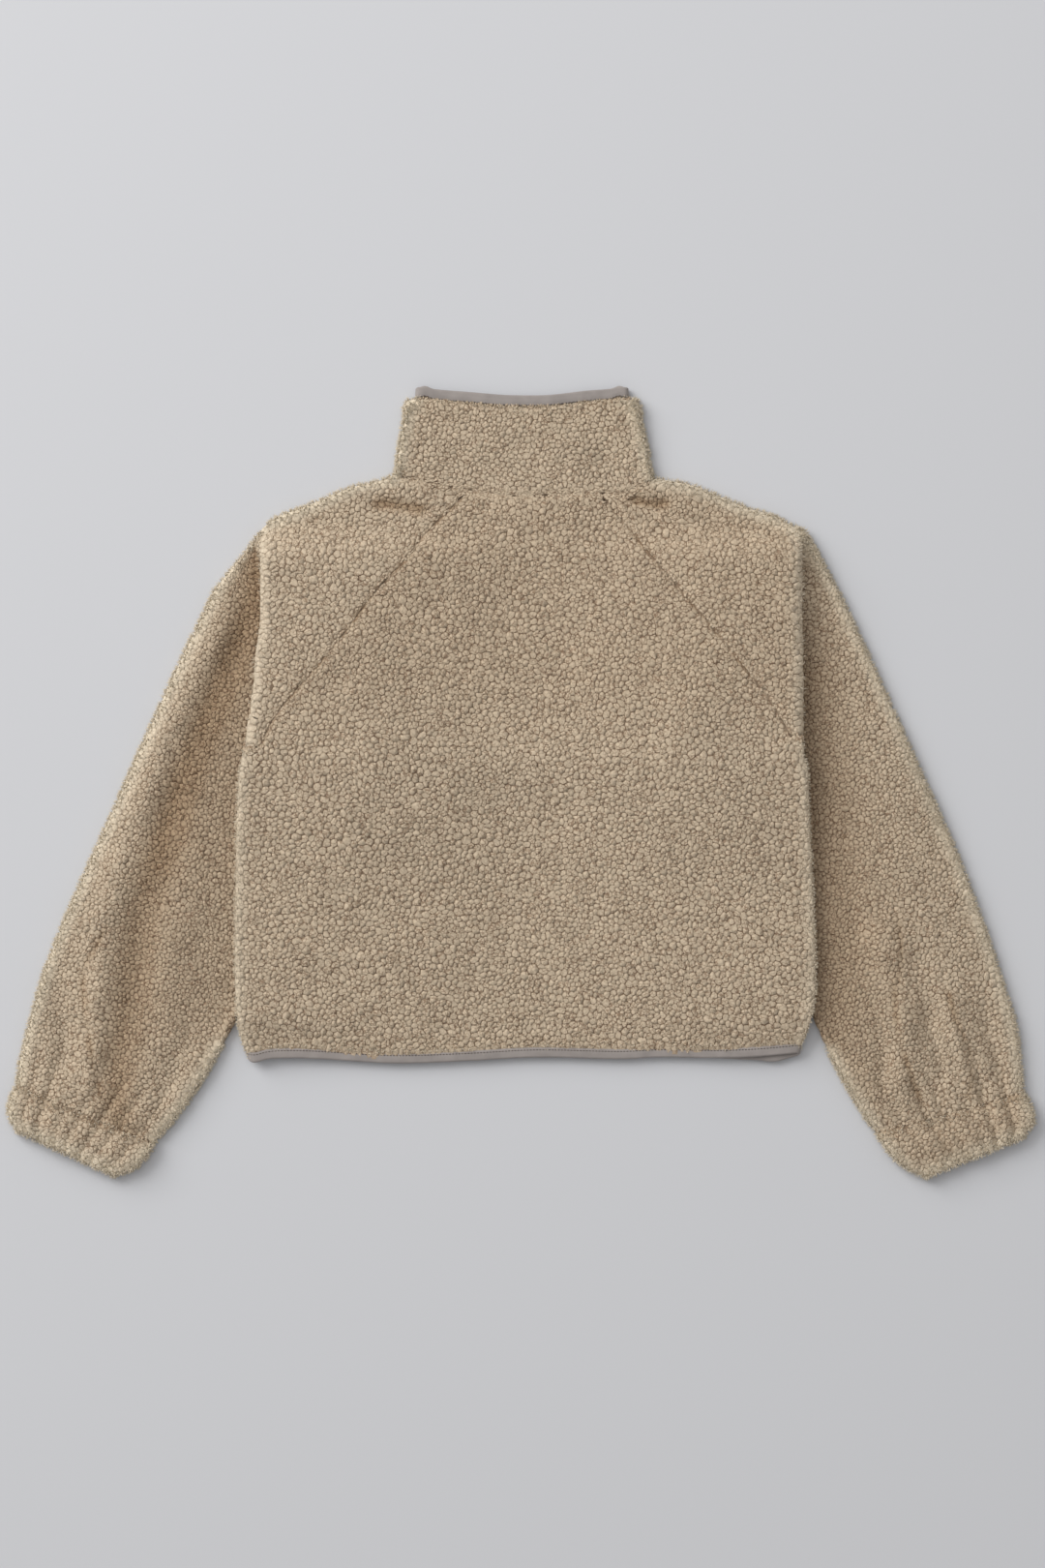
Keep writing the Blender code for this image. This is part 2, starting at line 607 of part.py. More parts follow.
# ---- binding tape ---------------------------------------------------------------------------------
def tape(name, ends, ways):
    """A tape folded over an edge: ends holds the middle of the pressed cloth's last row and of
    the row before it, and ways face out of the cloth."""
    points = ends[0]
    away = unit(ends[0] - ends[1])
    reach = (LIP + TAPE) / 2 + SEAM
    middle, out = [], []
    for a, b, turned in (
        (-TAPE_LEG, 1.0, 90),
        (0.3, 1.0, 90),
        (0.3, 0.5, 30),
        (0.3, -0.5, -30),
        (0.3, -1.0, -90),
        (-TAPE_LEG, -1.0, -90),
    ):
        c, d = math.cos(math.radians(turned)), math.sin(math.radians(turned))
        middle.append(points + away * (a + reach * c) + ways * reach * b)
        out.append(away * c + ways * d)
    cloth(name, np.array(middle), np.array(out), TAPE, False, TAPE_GREY, 0.8)


def main():
    for old in list(bpy.data.objects):
        bpy.data.objects.remove(old, do_unlink=True)
    for side in SIDES:
        sleeve(side)
        cuff(side)
    back, back_out = panel("back_body", ("left", "right"), False)
    left, left_out = panel("front_left", ("left",), True)
    right, right_out = panel("front_right", ("right",), True)
    top, top_out = collar()
    tape("collar_binding", top, top_out)
    # One tape for the whole hem: left front, round its side, the back, and the right front.
    tape(
        "hem_binding",
        np.concatenate([left[:, ::-1], back, right], axis=1),
        np.concatenate([left_out[::-1], back_out, right_out]),
    )


main()
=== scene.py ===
"""Looks of the plush cropped cardigan, laid flat on its front, back up.

Every cut piece is a closed shell on its solid's form. The plush side of a shell is a net
of small curls: places at random, never nearer than a least distance, each with a crown, a
shoulder ring and its own crevice all round. Sizes are in millimetres in the tables'
frame, as in the solids' source, and become metres when a mesh is made. Left is -X.
"""

import math

import bpy
import numpy as np
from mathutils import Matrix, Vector
from mathutils.geometry import delaunay_2d_cdt


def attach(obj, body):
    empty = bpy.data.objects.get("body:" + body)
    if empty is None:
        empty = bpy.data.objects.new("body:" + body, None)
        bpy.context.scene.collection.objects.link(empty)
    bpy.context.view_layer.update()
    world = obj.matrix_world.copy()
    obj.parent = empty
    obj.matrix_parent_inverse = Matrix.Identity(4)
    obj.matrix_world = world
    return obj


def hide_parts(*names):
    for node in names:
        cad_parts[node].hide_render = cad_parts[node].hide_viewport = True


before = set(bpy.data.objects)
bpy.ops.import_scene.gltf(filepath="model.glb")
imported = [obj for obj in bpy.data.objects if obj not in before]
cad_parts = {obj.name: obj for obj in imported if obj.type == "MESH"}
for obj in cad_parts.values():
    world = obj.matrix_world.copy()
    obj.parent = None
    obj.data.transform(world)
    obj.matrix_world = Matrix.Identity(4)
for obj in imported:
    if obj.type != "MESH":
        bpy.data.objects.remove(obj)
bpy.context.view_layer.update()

# ---- cloth, as in the solids ---------------------------------------------------------
WALL = 4.0
SLACK = 0.6
SEAM = 0.3
LAYER = (WALL + SLACK) / 2
HALF = WALL + SLACK / 2
LIP = 1.6
TAPE = 0.8
TAPE_LEG = 7.3
TURN = 5.0
OPENING = 40.0
RISE = 4 * TURN
SLEEVE_RISE = 2 * TURN
HEM_LIFT = 3.0
DRAPE = 95.0
DRAPE_BACK = 210.0  # the back's thick layer spans the hollow beside a pleat
PLEAT_DEPTH = {"left": 91.0, "right": 89.0}
PLEAT_TOP = {"left": 241.0, "right": 243.0}
ARMPIT = {"left": 35.0, "right": 45.0}
FOLD_END = {"left": 27.0, "right": 30.0}
FRONT_GAP = 1.0
FRONT_DROP = 30.0
CENTRE = 2.5
PUFF = 2.6
SIDES = {"left": -1.0, "right": 1.0}
OUTLINE_MIDDLE = np.array((-0.034, -1.431, 0.0))

BODY_EDGE = {
    "y": (245, 223, 151, 120, 84, 56, 30, 12, -33, -83, -134, -176, -209, -227, -246, -262),
    "left": (-242, -242, -242, -246, -249, -253, -257, -261, -264, -265, -266, -266, -265, -263, -259, -253),
    "right": (261, 261, 261, 262, 262, 262, 262, 266, 268, 271, 273, 274, 272, 268, 262, 260),
}
RAGLAN_LEFT = {"y": (272, 254, 237, 205, 174, 142, 106, 70, 46, 35), "x": (-49, -66, -84, -109, -138, -161, -190, -221, -236, -241)}
RAGLAN_RIGHT = {"y": (271, 250, 237, 205, 174, 142, 106, 70, 56, 45), "x": (69, 89, 100, 125, 152, 179, 207, 234, 242, 248)}
OUTLINE_LEFT = {"x": (-117, -154, -196, -242, -256, -270), "y": (286, 277, 259, 239, 223, 205)}
OUTLINE_RIGHT = {"x": (123, 160, 202, 249, 261, 281), "y": (285, 277, 259, 242, 232, 205)}
SLEEVE_LEFT = {
    "outer_x": (-285, -325, -365, -404, -440, -458, -468, -470),
    "outer_y": (180, 98, 9, -78, -164, -222, -265, -281),
    "inner_x": (-174, -190, -210, -231, -255, -279, -311, -341),
    "inner_y": (4, -37, -89, -141, -200, -248, -299, -336),
}
SLEEVE_RIGHT = {
    "outer_x": (297, 333, 373, 411, 442, 460, 466, 468),
    "outer_y": (176, 98, 9, -78, -164, -222, -262, -288),
    "inner_x": (182, 199, 219, 240, 263, 287, 312, 330),
    "inner_y": (5, -37, -89, -141, -200, -253, -299, -326),
}
CUFF_LEFT = {"outer_x": (-470.5, -476, -477, -472), "outer_y": (-283, -298, -310, -321), "inner_x": (-342, -351, -361, -370), "inner_y": (-338, -351, -361, -368)}
CUFF_RIGHT = {"outer_x": (468.5, 475, 477, 471), "outer_y": (-290, -304, -316, -327), "inner_x": (331, 342, 354, 368), "inner_y": (-328, -343, -357, -369)}
CUFF_HEIGHT = (11.0, 13.6, 13.2, 10.4)
COLLAR_SEAM = {"x": (-118, -73, -4, 47, 117, 123), "y": (286.5, 275.5, 266.5, 268, 278.5, 285)}
COLLAR_TOP = {"x": (-106, -98, -56, -4, 25, 64, 100, 108), "y": (357.5, 357.5, 354, 349.5, 350, 355, 357.5, 357)}
COLLAR_SIDE = {"v": (0.0, 0.35, 0.7, 0.9, 1.0), "left": (-117, -114, -109, -105, -101), "right": (123, 118, 112, 108, 103)}
HEM = {"x": (-253, -217, -111, -53, 19, 93, 129, 185, 221, 260), "y": (-250, -248, -253, -251, -247.5, -249, -247.5, -248, -246.5, -243), "front": (0, 0, 0, 0, 0, 0, 0, 0.5, 3, 3)}
CAP = tuple(math.radians(a) for a in (36, -36))
NECK_SHARE = 0.21

# ---- plush ------------------------------------------------------------------------------
CURL = 4.43  # least distance between two curls that show
CURL_HIDDEN = 13.0  # the same where another layer lies on them
CURL_UNDER = 8.5  # the same on the underside, pressed flat
PILE = 2.1  # from a crown to the bottom of its crevices
PILE_HIDDEN = 0.7
PILE_UNDER = 1.2

# Creases and swells: from one place to another, half width, and height
# (a trough has a negative one).
BODY_RELIEF = (
    {"x0": -200, "y0": 70, "x1": -60, "y1": 175, "width": 13, "height": -1.6},
    {"x0": -215, "y0": 20, "x1": -110, "y1": 95, "width": 12, "height": -1.3},
    {"x0": -228, "y0": -40, "x1": -150, "y1": 40, "width": 14, "height": -1.2},
    {"x0": 215, "y0": 60, "x1": 120, "y1": 150, "width": 14, "height": -1.5},
    {"x0": 235, "y0": -10, "x1": 160, "y1": 60, "width": 15, "height": -1.1},
    {"x0": -150, "y0": -60, "x1": -165, "y1": -215, "width": 22, "height": -1.8},
    {"x0": -70, "y0": 20, "x1": -95, "y1": -200, "width": 26, "height": 1.3},
    {"x0": 20, "y0": 130, "x1": -10, "y1": -120, "width": 30, "height": -1.2},
    {"x0": 95, "y0": 40, "x1": 80, "y1": -190, "width": 24, "height": 1.2},
    {"x0": 160, "y0": -50, "x1": 175, "y1": -225, "width": 20, "height": -1.6},
    {"x0": 215, "y0": -80, "x1": 228, "y1": -225, "width": 15, "height": 1.2},
    {"x0": -100, "y0": 262, "x1": -40, "y1": 238, "width": 8, "height": -1.4},
    {"x0": 108, "y0": 258, "x1": 60, "y1": 240, "width": 8, "height": -1.4},
)
YOKE_RELIEF = (
    {"x0": -142, "y0": 258, "x1": -84, "y1": 255, "width": 5, "height": -3.4},
    {"x0": 97, "y0": 264, "x1": 142, "y1": 258, "width": 5, "height": -3.4},
    {"x0": -228, "y0": 190, "x1": -150, "y1": 205, "width": 15, "height": -1.4},
    {"x0": 240, "y0": 185, "x1": 165, "y1": 205, "width": 15, "height": -1.4},
    {"x0": -225, "y0": 110, "x1": -190, "y1": 165, "width": 12, "height": 1.2},
    {"x0": 245, "y0": 110, "x1": 205, "y1": 165, "width": 12, "height": 1.2},
)
SLEEVE_RELIEF = (
    {"x0": -270, "y0": 175, "x1": -345, "y1": 7, "width": 17, "height": 4.2},
    {"x0": -338, "y0": 22, "x1": -390, "y1": -137, "width": 17, "height": 4.4},
    {"x0": -386, "y0": -110, "x1": -402, "y1": -225, "width": 14, "height": 4.0},
    {"x0": -402, "y0": -200, "x1": -394, "y1": -300, "width": 12, "height": 4.0},
    {"x0": -250, "y0": 165, "x1": -314, "y1": 7, "width": 16, "height": -3.6},
    {"x0": -308, "y0": 25, "x1": -359, "y1": -137, "width": 17, "height": -4.4},
    {"x0": -355, "y0": -115, "x1": -376, "y1": -300, "width": 15, "height": -4.6},
    {"x0": -312, "y0": -110, "x1": -340, "y1": -235, "width": 17, "height": 2.0},
    {"x0": -430, "y0": -165, "x1": -426, "y1": -285, "width": 10, "height": -3.6},
    {"x0": -300, "y0": -190, "x1": -338, "y1": -318, "width": 10, "height": -2.4},
    {"x0": 300, "y0": -60, "x1": 330, "y1": -250, "width": 13, "height": -2.6},
    {"x0": 336, "y0": -120, "x1": 352, "y1": -228, "width": 14, "height": 3.4},
    {"x0": 350, "y0": -205, "x1": 361, "y1": -290, "width": 11, "height": 4.4},
    {"x0": 366, "y0": -150, "x1": 386, "y1": -236, "width": 8, "height": -2.3},
    {"x0": 378, "y0": -205, "x1": 392, "y1": -292, "width": 7, "height": -3.4},
    {"x0": 330, "y0": -225, "x1": 343, "y1": -300, "width": 7, "height": -3.4},
    {"x0": 396, "y0": -180, "x1": 419, "y1": -292, "width": 11, "height": 4.2},
    {"x0": 432, "y0": -190, "x1": 440, "y1": -290, "width": 9, "height": -3.8},
    {"x0": 335, "y0": 60, "x1": 385, "y1": -90, "width": 24, "height": 2.0},
)


# Narrow partings of the pile beside the gathers' ridges, each a run of places.
PARTINGS = {
    "left": (
        ((-387, -138), (-401, -163), (-408, -180), (-405, -215), (-399, -257), (-391, -292)),
    ),
    "right": (
        ((351, -128), (354, -167), (347, -196), (349, -226), (356, -252), (364, -278), (374, -300)),
        ((397, -196), (402, -215), (414, -244), (419, -264), (417, -292)),
    ),
}


# ---- rules, as in the solids ---------------------------------------------------------------
def along(table, column, at, key="y"):
    """Value of a table's column at a place between its rows, on a smooth curve."""
    xs, ys = np.array(table[key], float), np.array(table[column], float)
    if xs[0] > xs[-1]:
        xs, ys = xs[::-1], ys[::-1]
    at = np.clip(np.asarray(at, float), xs[0], xs[-1])
    step = np.diff(ys) / np.diff(xs)
    slope = np.concatenate([step[:1], (step[1:] + step[:-1]) / 2, step[-1:]])
    flat = np.concatenate([[False], step[1:] * step[:-1] <= 0, [False]])
    slope[flat] = 0.0
    i = np.clip(np.searchsorted(xs, at) - 1, 0, len(xs) - 2)
    h = xs[i + 1] - xs[i]
    t = (at - xs[i]) / h
    return (
        (1 + 2 * t) * (1 - t) ** 2 * ys[i]
        + t * (1 - t) ** 2 * h * slope[i]
        + t * t * (3 - 2 * t) * ys[i + 1]
        + t * t * (t - 1) * h * slope[i + 1]
    )


def ease(t):
    t = np.clip(t, 0.0, 1.0)
    return t * t * (3 - 2 * t)


def edge(side, y):
    return along(BODY_EDGE, side, y)


def pleat(side, y):
    s = PLEAT_TOP[side] - y
    q = np.clip(s / OPENING, 0.02, 1.0)
    angle = math.pi * q**1.3
    rise = RISE * ease(q)
    radius = np.maximum(rise / (2 * (1 - np.cos(angle))), TURN)
    full = PLEAT_TOP[side] - OPENING
    deepest = PLEAT_DEPTH[side] - 2 * (TURN + HALF)
    straight = deepest * np.clip((full - y) / (full - FOLD_END[side]), 0.0, 1.1)
    return angle, radius, straight


def lift(x, y, drape=DRAPE, fall=46.0, end=17.0):
    """How far what lies below raises the middle of the body's two layers."""
    total = 0.0
    for side, sign in SIDES.items():
        y_here = np.clip(y, -270, 290)
        inward = (edge(side, y_here) - x) * sign
        angle, radius, straight = pleat(side, y_here)
        top = 2 * radius * (1 - np.cos(angle)) * (y_here < PLEAT_TOP[side])
        below = FOLD_END[side] - HALF - y_here
        height = top - (RISE - SLEEVE_RISE) * ease(below / fall)
        near_hem = ease((-y_here - 217.0) / end)
        height = height + (HEM_LIFT - height) * near_hem
        hidden = straight + 2 * (TURN + HALF)
        table = SLEEVE_LEFT if side == "left" else SLEEVE_RIGHT
        inner = (edge(side, y_here) - along(table, "inner_x", y_here, key="inner_y")) * sign
        past = ease((FOLD_END[side] + 6.0 - y_here) / 60.0)
        hidden = hidden * (1 - past) + np.maximum(inner, 0.0) * past
        off = (inward - hidden - 22.0) / drape
        total = total + height * (1 - ease(off) if drape == DRAPE else 1 - 0.35 * ease(off) - 0.65 * np.clip(off, 0, 1))
    return total


def spare(x, y):
    """How much higher than that the back's own layer lies."""
    return np.maximum(lift(x, y, DRAPE_BACK, 150.0, 33.0) - lift(x, y), 0.0)


def unit(v):
    return v / np.maximum(np.linalg.norm(v, axis=-1, keepdims=True), 1e-9)


def surface(x, y):
    """The middle of the body's two layers over a place on the drawing, and the way up from it."""
    x, y = np.broadcast_arrays(np.asarray(x, float), np.asarray(y, float))
    e = 0.5
    slope_x = (lift(x + e, y) - lift(x - e, y)) / (2 * e)
    slope_y = (lift(x, y + e) - lift(x, y - e)) / (2 * e)
    up = unit(np.stack([-slope_x, -slope_y, np.ones_like(slope_x)], axis=-1))
    return np.stack([x, y, HALF + lift(x, y)], axis=-1), up


def front_drop(x):
    return FRONT_DROP * np.clip(1 - ((x - CENTRE) / 115.6) ** 2, 0.0, 1.0)


def first_section(side, front, across):
    """Seam line of a sleeve: along the neck and then down the raglan seam."""
    sign = SIDES[side]
    raglan = RAGLAN_LEFT if side == "left" else RAGLAN_RIGHT
    top_x, top_y = raglan["x"][0], raglan["y"][0]
    gap = SEAM / 2 + 0.05
    start = along(COLLAR_SIDE, side, 0.0, key="v") - sign * HALF
    section = []
    for w in across:
        if w <= NECK_SHARE + 1e-9:
            x = start + (top_x - start) * w / NECK_SHARE
            y = along(COLLAR_SEAM, "y", x, key="x") - gap
        else:
            u = ((w - NECK_SHARE) / (1 - NECK_SHARE)) ** 0.95
            y = top_y + (ARMPIT[side] - top_y) * u
            x = along(raglan, "x", y) + sign * gap
        section.append((x, y - (front_drop(x) * ease(1 - max(w - NECK_SHARE, 0.0) / 0.55) if front else 0.0)))
    return np.array(section)


def hem_y(x, front):
    y = along(HEM, "y", x, key="x")
    return y - (along(HEM, "front", x, key="x") if front else 0.0)


def relief(rows, x, y):
    """Soft troughs and ridges over a place on the drawing."""
    total = np.zeros(np.shape(x))
    for i, row in enumerate(rows):
        ax, ay, bx, by = row["x0"], row["y0"], row["x1"], row["y1"]
        length = math.hypot(bx - ax, by - ay)
        u = ((x - ax) * (bx - ax) + (y - ay) * (by - ay)) / length**2
        d = ((x - ax) * (by - ay) - (y - ay) * (bx - ax)) / length
        # A crease wanders a little and is not as deep all along.
        d = d + row["width"] * 0.35 * np.sin(u * 5.3 + i * 2.1)
        deep = 1 + 0.25 * np.sin(u * 9.1 + i)
        total = total + row["height"] * deep * np.exp(-((d / row["width"]) ** 2)) * np.exp(-(np.maximum(abs(2 * u - 1) - 0.55, 0) / 0.5) ** 2 * 2.5)
    return total


# ---- smooth noise ------------------------------------------------------------------------------
def noise2(x, y, size, seed):
    """Smooth noise between -1 and 1 with features of about this size."""
    rng = np.random.default_rng(seed)
    grid = rng.uniform(-1, 1, (256, 256))
    u, v = np.asarray(x) / size + 1000.5, np.asarray(y) / size + 1000.5
    i, j = np.floor(u).astype(int), np.floor(v).astype(int)
    a, b = ease(u - i), ease(v - j)
    g = lambda p, q: grid[p % 256, q % 256]
    return (g(i, j) * (1 - a) + g(i + 1, j) * a) * (1 - b) + (g(i, j + 1) * (1 - a) + g(i + 1, j + 1) * a) * b


# ---- sampling a grid of points ----------------------------------------------------------------
def sample(grid, rc):
    """Values of a grid at places given as (row, column), between its nodes."""
    r = np.clip(rc[:, 0], 0, grid.shape[0] - 1.0001)
    c = np.clip(rc[:, 1], 0, grid.shape[1] - 1.0001)
    i, j = r.astype(int), c.astype(int)
    a, b = r - i, c - j
    if grid.ndim == 3:
        a, b = a[:, None], b[:, None]
    return (grid[i, j] * (1 - b) + grid[i, j + 1] * b) * (1 - a) + (grid[i + 1, j] * (1 - b) + grid[i + 1, j + 1] * b) * a


def normals_of(points, toward=None):
    """Normals of a grid of points, turned to the side that toward points to."""
    down = np.gradient(points, axis=0)
    over = np.gradient(points, axis=1)
    n = unit(np.cross(over, down))
    if toward is not None:
        n = n * np.sign(np.sum(n * toward, axis=-1, keepdims=True) + 1e-12)
    return n


def scatter(flat, reach, rng, border, border_reach):
    """Places (row, column) over a flat layout, never nearer to each other than reach says."""
    a = flat[1:, 1:] - flat[:-1, :-1]
    b = flat[1:, :-1] - flat[:-1, 1:]
    area = abs(a[..., 0] * b[..., 1] - a[..., 1] * b[..., 0]) / 2
    mean = (reach[1:, 1:] + reach[:-1, :-1] + reach[1:, :-1] + reach[:-1, 1:]) / 4
    share = (area / mean**2).ravel()
    wanted = share.sum()
    count = int(wanted * 9)
    cell = rng.choice(len(share), count, p=share / share.sum())
    rc = np.stack(np.divmod(cell, area.shape[1]), axis=1) + rng.uniform(0, 1, (count, 2))
    spot, least = sample(flat, rc), sample(reach, rc)
    # Curls of all sizes grow side by side.
    grown = rng.uniform(0.74, 1.26, count)
    size = float(reach.min()) * 1.001
    held = {}
    for p, q, d in zip(border[:, 0], border[:, 1], border_reach):
        held.setdefault((int(p // size), int(q // size)), []).append((p, q, d, 1.0))
    kept = []
    xs, ys, ls, fs = spot[:, 0].tolist(), spot[:, 1].tolist(), least.tolist(), grown.tolist()
    for k in range(count):
        p, q, d, f = xs[k], ys[k], ls[k], fs[k]
        i, j, n = int(p // size), int(q // size), int(d * 1.26 // size) + 1
        free = True
        for m in range(i - n, i + n + 1):
            for o in range(j - n, j + n + 1):
                for u, v, e, g in held.get((m, o), ()):
                    gap = min(d, e) * (f + g) / 2 if e > 0 else d * -e
                    if (u - p) ** 2 + (v - q) ** 2 < gap * gap:
                        free = False
                        break
                if not free:
                    break
            if not free:
                break
        if free:
            held.setdefault((i, j), []).append((p, q, d, f))
            kept.append(k)
    return rc[kept]


def outline_of(rows, columns, step_r, step_c):
    """Rows and columns of the coarse grid, and its rim as (row, column), once round."""
    rr = np.unique(np.round(np.linspace(0, rows - 1, max(2, int(round((rows - 1) / step_r)) + 1))).astype(int))
    cc = np.unique(np.round(np.linspace(0, columns - 1, max(2, int(round((columns - 1) / step_c)) + 1))).astype(int))
    rim = [(r, 0) for r in range(len(rr))]
    rim += [(len(rr) - 1, c) for c in range(1, len(cc))]
    rim += [(r, len(cc) - 1) for r in range(len(rr) - 2, -1, -1)]
    rim += [(0, c) for c in range(len(cc) - 2, 0, -1)]
    return rr, cc, rim


def within(polygon, places):
    """Whether each place lies within a polygon."""
    a, b = polygon, np.roll(polygon, -1, axis=0)
    inside = np.zeros(len(places), bool)
    x, y = places[:, 0], places[:, 1]
    for (ax, ay), (bx, by) in zip(a, b):
        if ay != by:
            inside ^= ((ay > y) != (by > y)) & (x < (bx - ax) * (y - ay) / (by - ay) + ax)
    return inside


MESHES = {}
HAIR = {}
ENDS = {}


def plush(name, outer, normal, flat, inner, reach, pile, sink, tint, step, seed, floor=0.0, exact=None, hair=0):
    """A closed shell: curls on its outer side, its rim, and a plain inner side.

    outer, normal, flat, inner are grids of points; reach is the least distance of two curls,
    pile their height, sink how far the rim lies below the outer side, tint a grid of shares
    for the colour: (rim of the garment for a painted highlight, painted shade and dark seam lines, fibres over an
    edge); exact gives the outer side straight from a flat place; hair is how many loose fibres stand on the piece's
    rim."""
    rng = np.random.default_rng(seed)
    rows, columns = reach.shape
    rr, cc, rim = outline_of(rows, columns, *step)
    rim_rc = np.array([(rr[r], cc[c]) for r, c in rim], float)
    rim_flat = sample(flat, rim_rc)
    rim_reach = -0.62 * np.ones(len(rim_rc))
    inside = scatter(flat, reach, rng, rim_flat, rim_reach)
    rc = np.concatenate([rim_rc, inside])
    spots = sample(flat, rc)
    n_rim = len(rim_rc)
    found = delaunay_2d_cdt([Vector(p) for p in spots.tolist()], [], [list(range(n_rim))], 1, 1e-5, True)
    if len(found[0]) != len(spots):
        print(name, "layout gained points", len(found[0]) - len(spots))
    origin = found[3]
    to_site = np.array([o[0] if len(o) else -1 for o in origin])
    tri = np.array([f for f in found[2] if len(f) == 3])
    tri = to_site[tri]
    # The triangulation covers the rim's hull, and only what lies within the rim is cloth.
    tri = tri[within(rim_flat, spots[tri].mean(axis=1))]
    a, b, c = spots[tri[:, 0]], spots[tri[:, 1]], spots[tri[:, 2]]
    area = (b[:, 0] - a[:, 0]) * (c[:, 1] - a[:, 1]) - (b[:, 1] - a[:, 1]) * (c[:, 0] - a[:, 0])
    tri[area < 0] = tri[area < 0][:, ::-1]
    sites = len(rc)
    is_rim = np.arange(sites) < n_rim

    # Edges between two places, with the triangles on their two sides.
    half = np.concatenate([tri[:, [0, 1]], tri[:, [1, 2]], tri[:, [2, 0]]])
    owner = np.tile(np.arange(len(tri)), 3)
    key = half[:, 0].astype(np.int64) * sites + half[:, 1]
    back = half[:, 1].astype(np.int64) * sites + half[:, 0]
    order = np.argsort(key)
    place = np.searchsorted(key[order], back)
    place = np.clip(place, 0, len(key) - 1)
    twin = order[place]
    has_twin = key[twin] == back
    first = has_twin & (half[:, 0] < half[:, 1])
    ea, eb = half[first, 0], half[first, 1]
    left, right = owner[first], owner[twin[first]]
    alone = ~has_twin
    oa, ob, ot = half[alone, 0], half[alone, 1], owner[alone]

    # Heights, in shares of the pile: crown, shoulder ring, crevice. A corner of three curls
    # lies nearer to one than to another, so that no two curls are alike.
    tall = sample(pile, rc)
    low = sample(sink, rc)
    crown = rng.uniform(0.24, 0.42, sites)
    pull = rng.uniform(0.55, 1.45, tri.shape)
    pull = (pull / pull.sum(axis=1, keepdims=True))[..., None]
    middle_rc = (rc[tri] * pull).sum(axis=1)
    middle_at = (spots[tri] * pull).sum(axis=1)
    edge_deep = rng.uniform(0.30, 1.0, len(ea))
    merged = rng.uniform(0, 1, len(ea)) < 0.27
    edge_deep[merged] = rng.uniform(-0.35, 0.10, merged.sum())
    edge_deep = edge_deep * np.where(is_rim[ea] | is_rim[eb], 0.6, 1.0)
    corner_deep = np.array((1.0, 0.75, 0.35, 0.3))[is_rim[tri].sum(axis=1)]
    # A crevice's middle wanders to one side.
    slide = rng.uniform(0.42, 0.58, len(ea))[:, None]
    bend = rng.uniform(-0.12, 0.12, len(ea))[:, None]
    mid_rc = rc[ea] * slide + rc[eb] * (1 - slide) + bend * (middle_rc[left] - middle_rc[right])
    mid_at = spots[ea] * slide + spots[eb] * (1 - slide) + bend * (middle_at[left] - middle_at[right])

    # The crevice share darkens a point's colour toward the pile's deep brown: partly the pile's own darker depth and
    # partly painted shade in the crevices. Near the garment's outline it is less, beside the painted highlight there.
    pos, nrm, crev, painted_rim_light, shade, tone, fringe = [], [], [], [], [], [], []

    def put(at, flat_at, height, crevice, t):
        p = sample(outer, at) if exact is None else exact(flat_at[:, 0], flat_at[:, 1])
        n = unit(sample(normal, at))
        h = sample(tint, at)
        base = sum(len(x) for x in pos)
        pos.append(p + n * height[:, None])
        nrm.append(n)
        crev.append(crevice * (1 - 0.9 * h[:, 0]))
        fringe.append(h[:, 2] if h.shape[1] > 2 else 0 * h[:, 0])
        painted_rim_light.append(h[:, 0])
        shade.append(h[:, 1])
        tone.append(t)
        return base

    # Crowns lean a little, and along the rim stand the halves of curls.
    site_tone = rng.uniform(0, 1, sites)
    lean = rng.normal(0, 0.35, (sites, 2)) * (~is_rim)[:, None]
    height = np.where(is_rim, tall * rng.uniform(-0.15, 0.32, sites) - low, tall * crown)
    tops = put(rc, spots, height, np.where(is_rim, rng.uniform(0.0, 0.45, sites), 0.0), site_tone)
    lean3 = np.zeros((sites, 3))
    lean3[:, :2] = lean
    pos[-1] = pos[-1] + lean3 * np.minimum(tall / PILE, 1)[:, None]
    t_tall = sample(pile, middle_rc)
    corners = put(middle_rc, middle_at, -t_tall * rng.uniform(0.50, 0.80, len(tri)) * corner_deep, corner_deep, rng.uniform(0, 1, len(tri)))
    m_tall = sample(pile, mid_rc)
    mids = put(mid_rc, mid_at, -m_tall * 0.70 * edge_deep, np.clip(edge_deep, 0, 1), rng.uniform(0, 1, len(ea)))
    # Shoulder ring: one place toward each corner of each curl's own cell.
    ring_site = tri.ravel()
    ring_tri = np.repeat(np.arange(len(tri)), 3)
    wide = rng.uniform(-0.05, 0.05, sites)
    reach_out = (rng.uniform(0.80, 0.92, len(ring_site)) + wide[ring_site] * 0.4)[:, None]
    ring_rc = rc[ring_site] * (1 - reach_out) + middle_rc[ring_tri] * reach_out
    ring_at = spots[ring_site] * (1 - reach_out) + middle_at[ring_tri] * reach_out
    ring_height = sample(pile, ring_rc) * (crown[ring_site] * rng.uniform(0.72, 1.08, len(ring_site)))
    ring_height = np.where(is_rim[ring_site], 0.0, ring_height)
    rings = put(ring_rc, ring_at, ring_height, np.full(len(ring_site), 0.1), site_tone[ring_site])
    lookup_key = ring_tri.astype(np.int64) * sites + ring_site
    lookup_order = np.argsort(lookup_key)
    sorted_key = lookup_key[lookup_order]

    def ring(t, s):
        k = t.astype(np.int64) * sites + s
        return rings + lookup_order[np.searchsorted(sorted_key, k)]

    faces = []
    m = mids + np.arange(len(ea))
    brinks = []
    for s, t1, t2 in ((ea, left, right), (eb, right, left)):
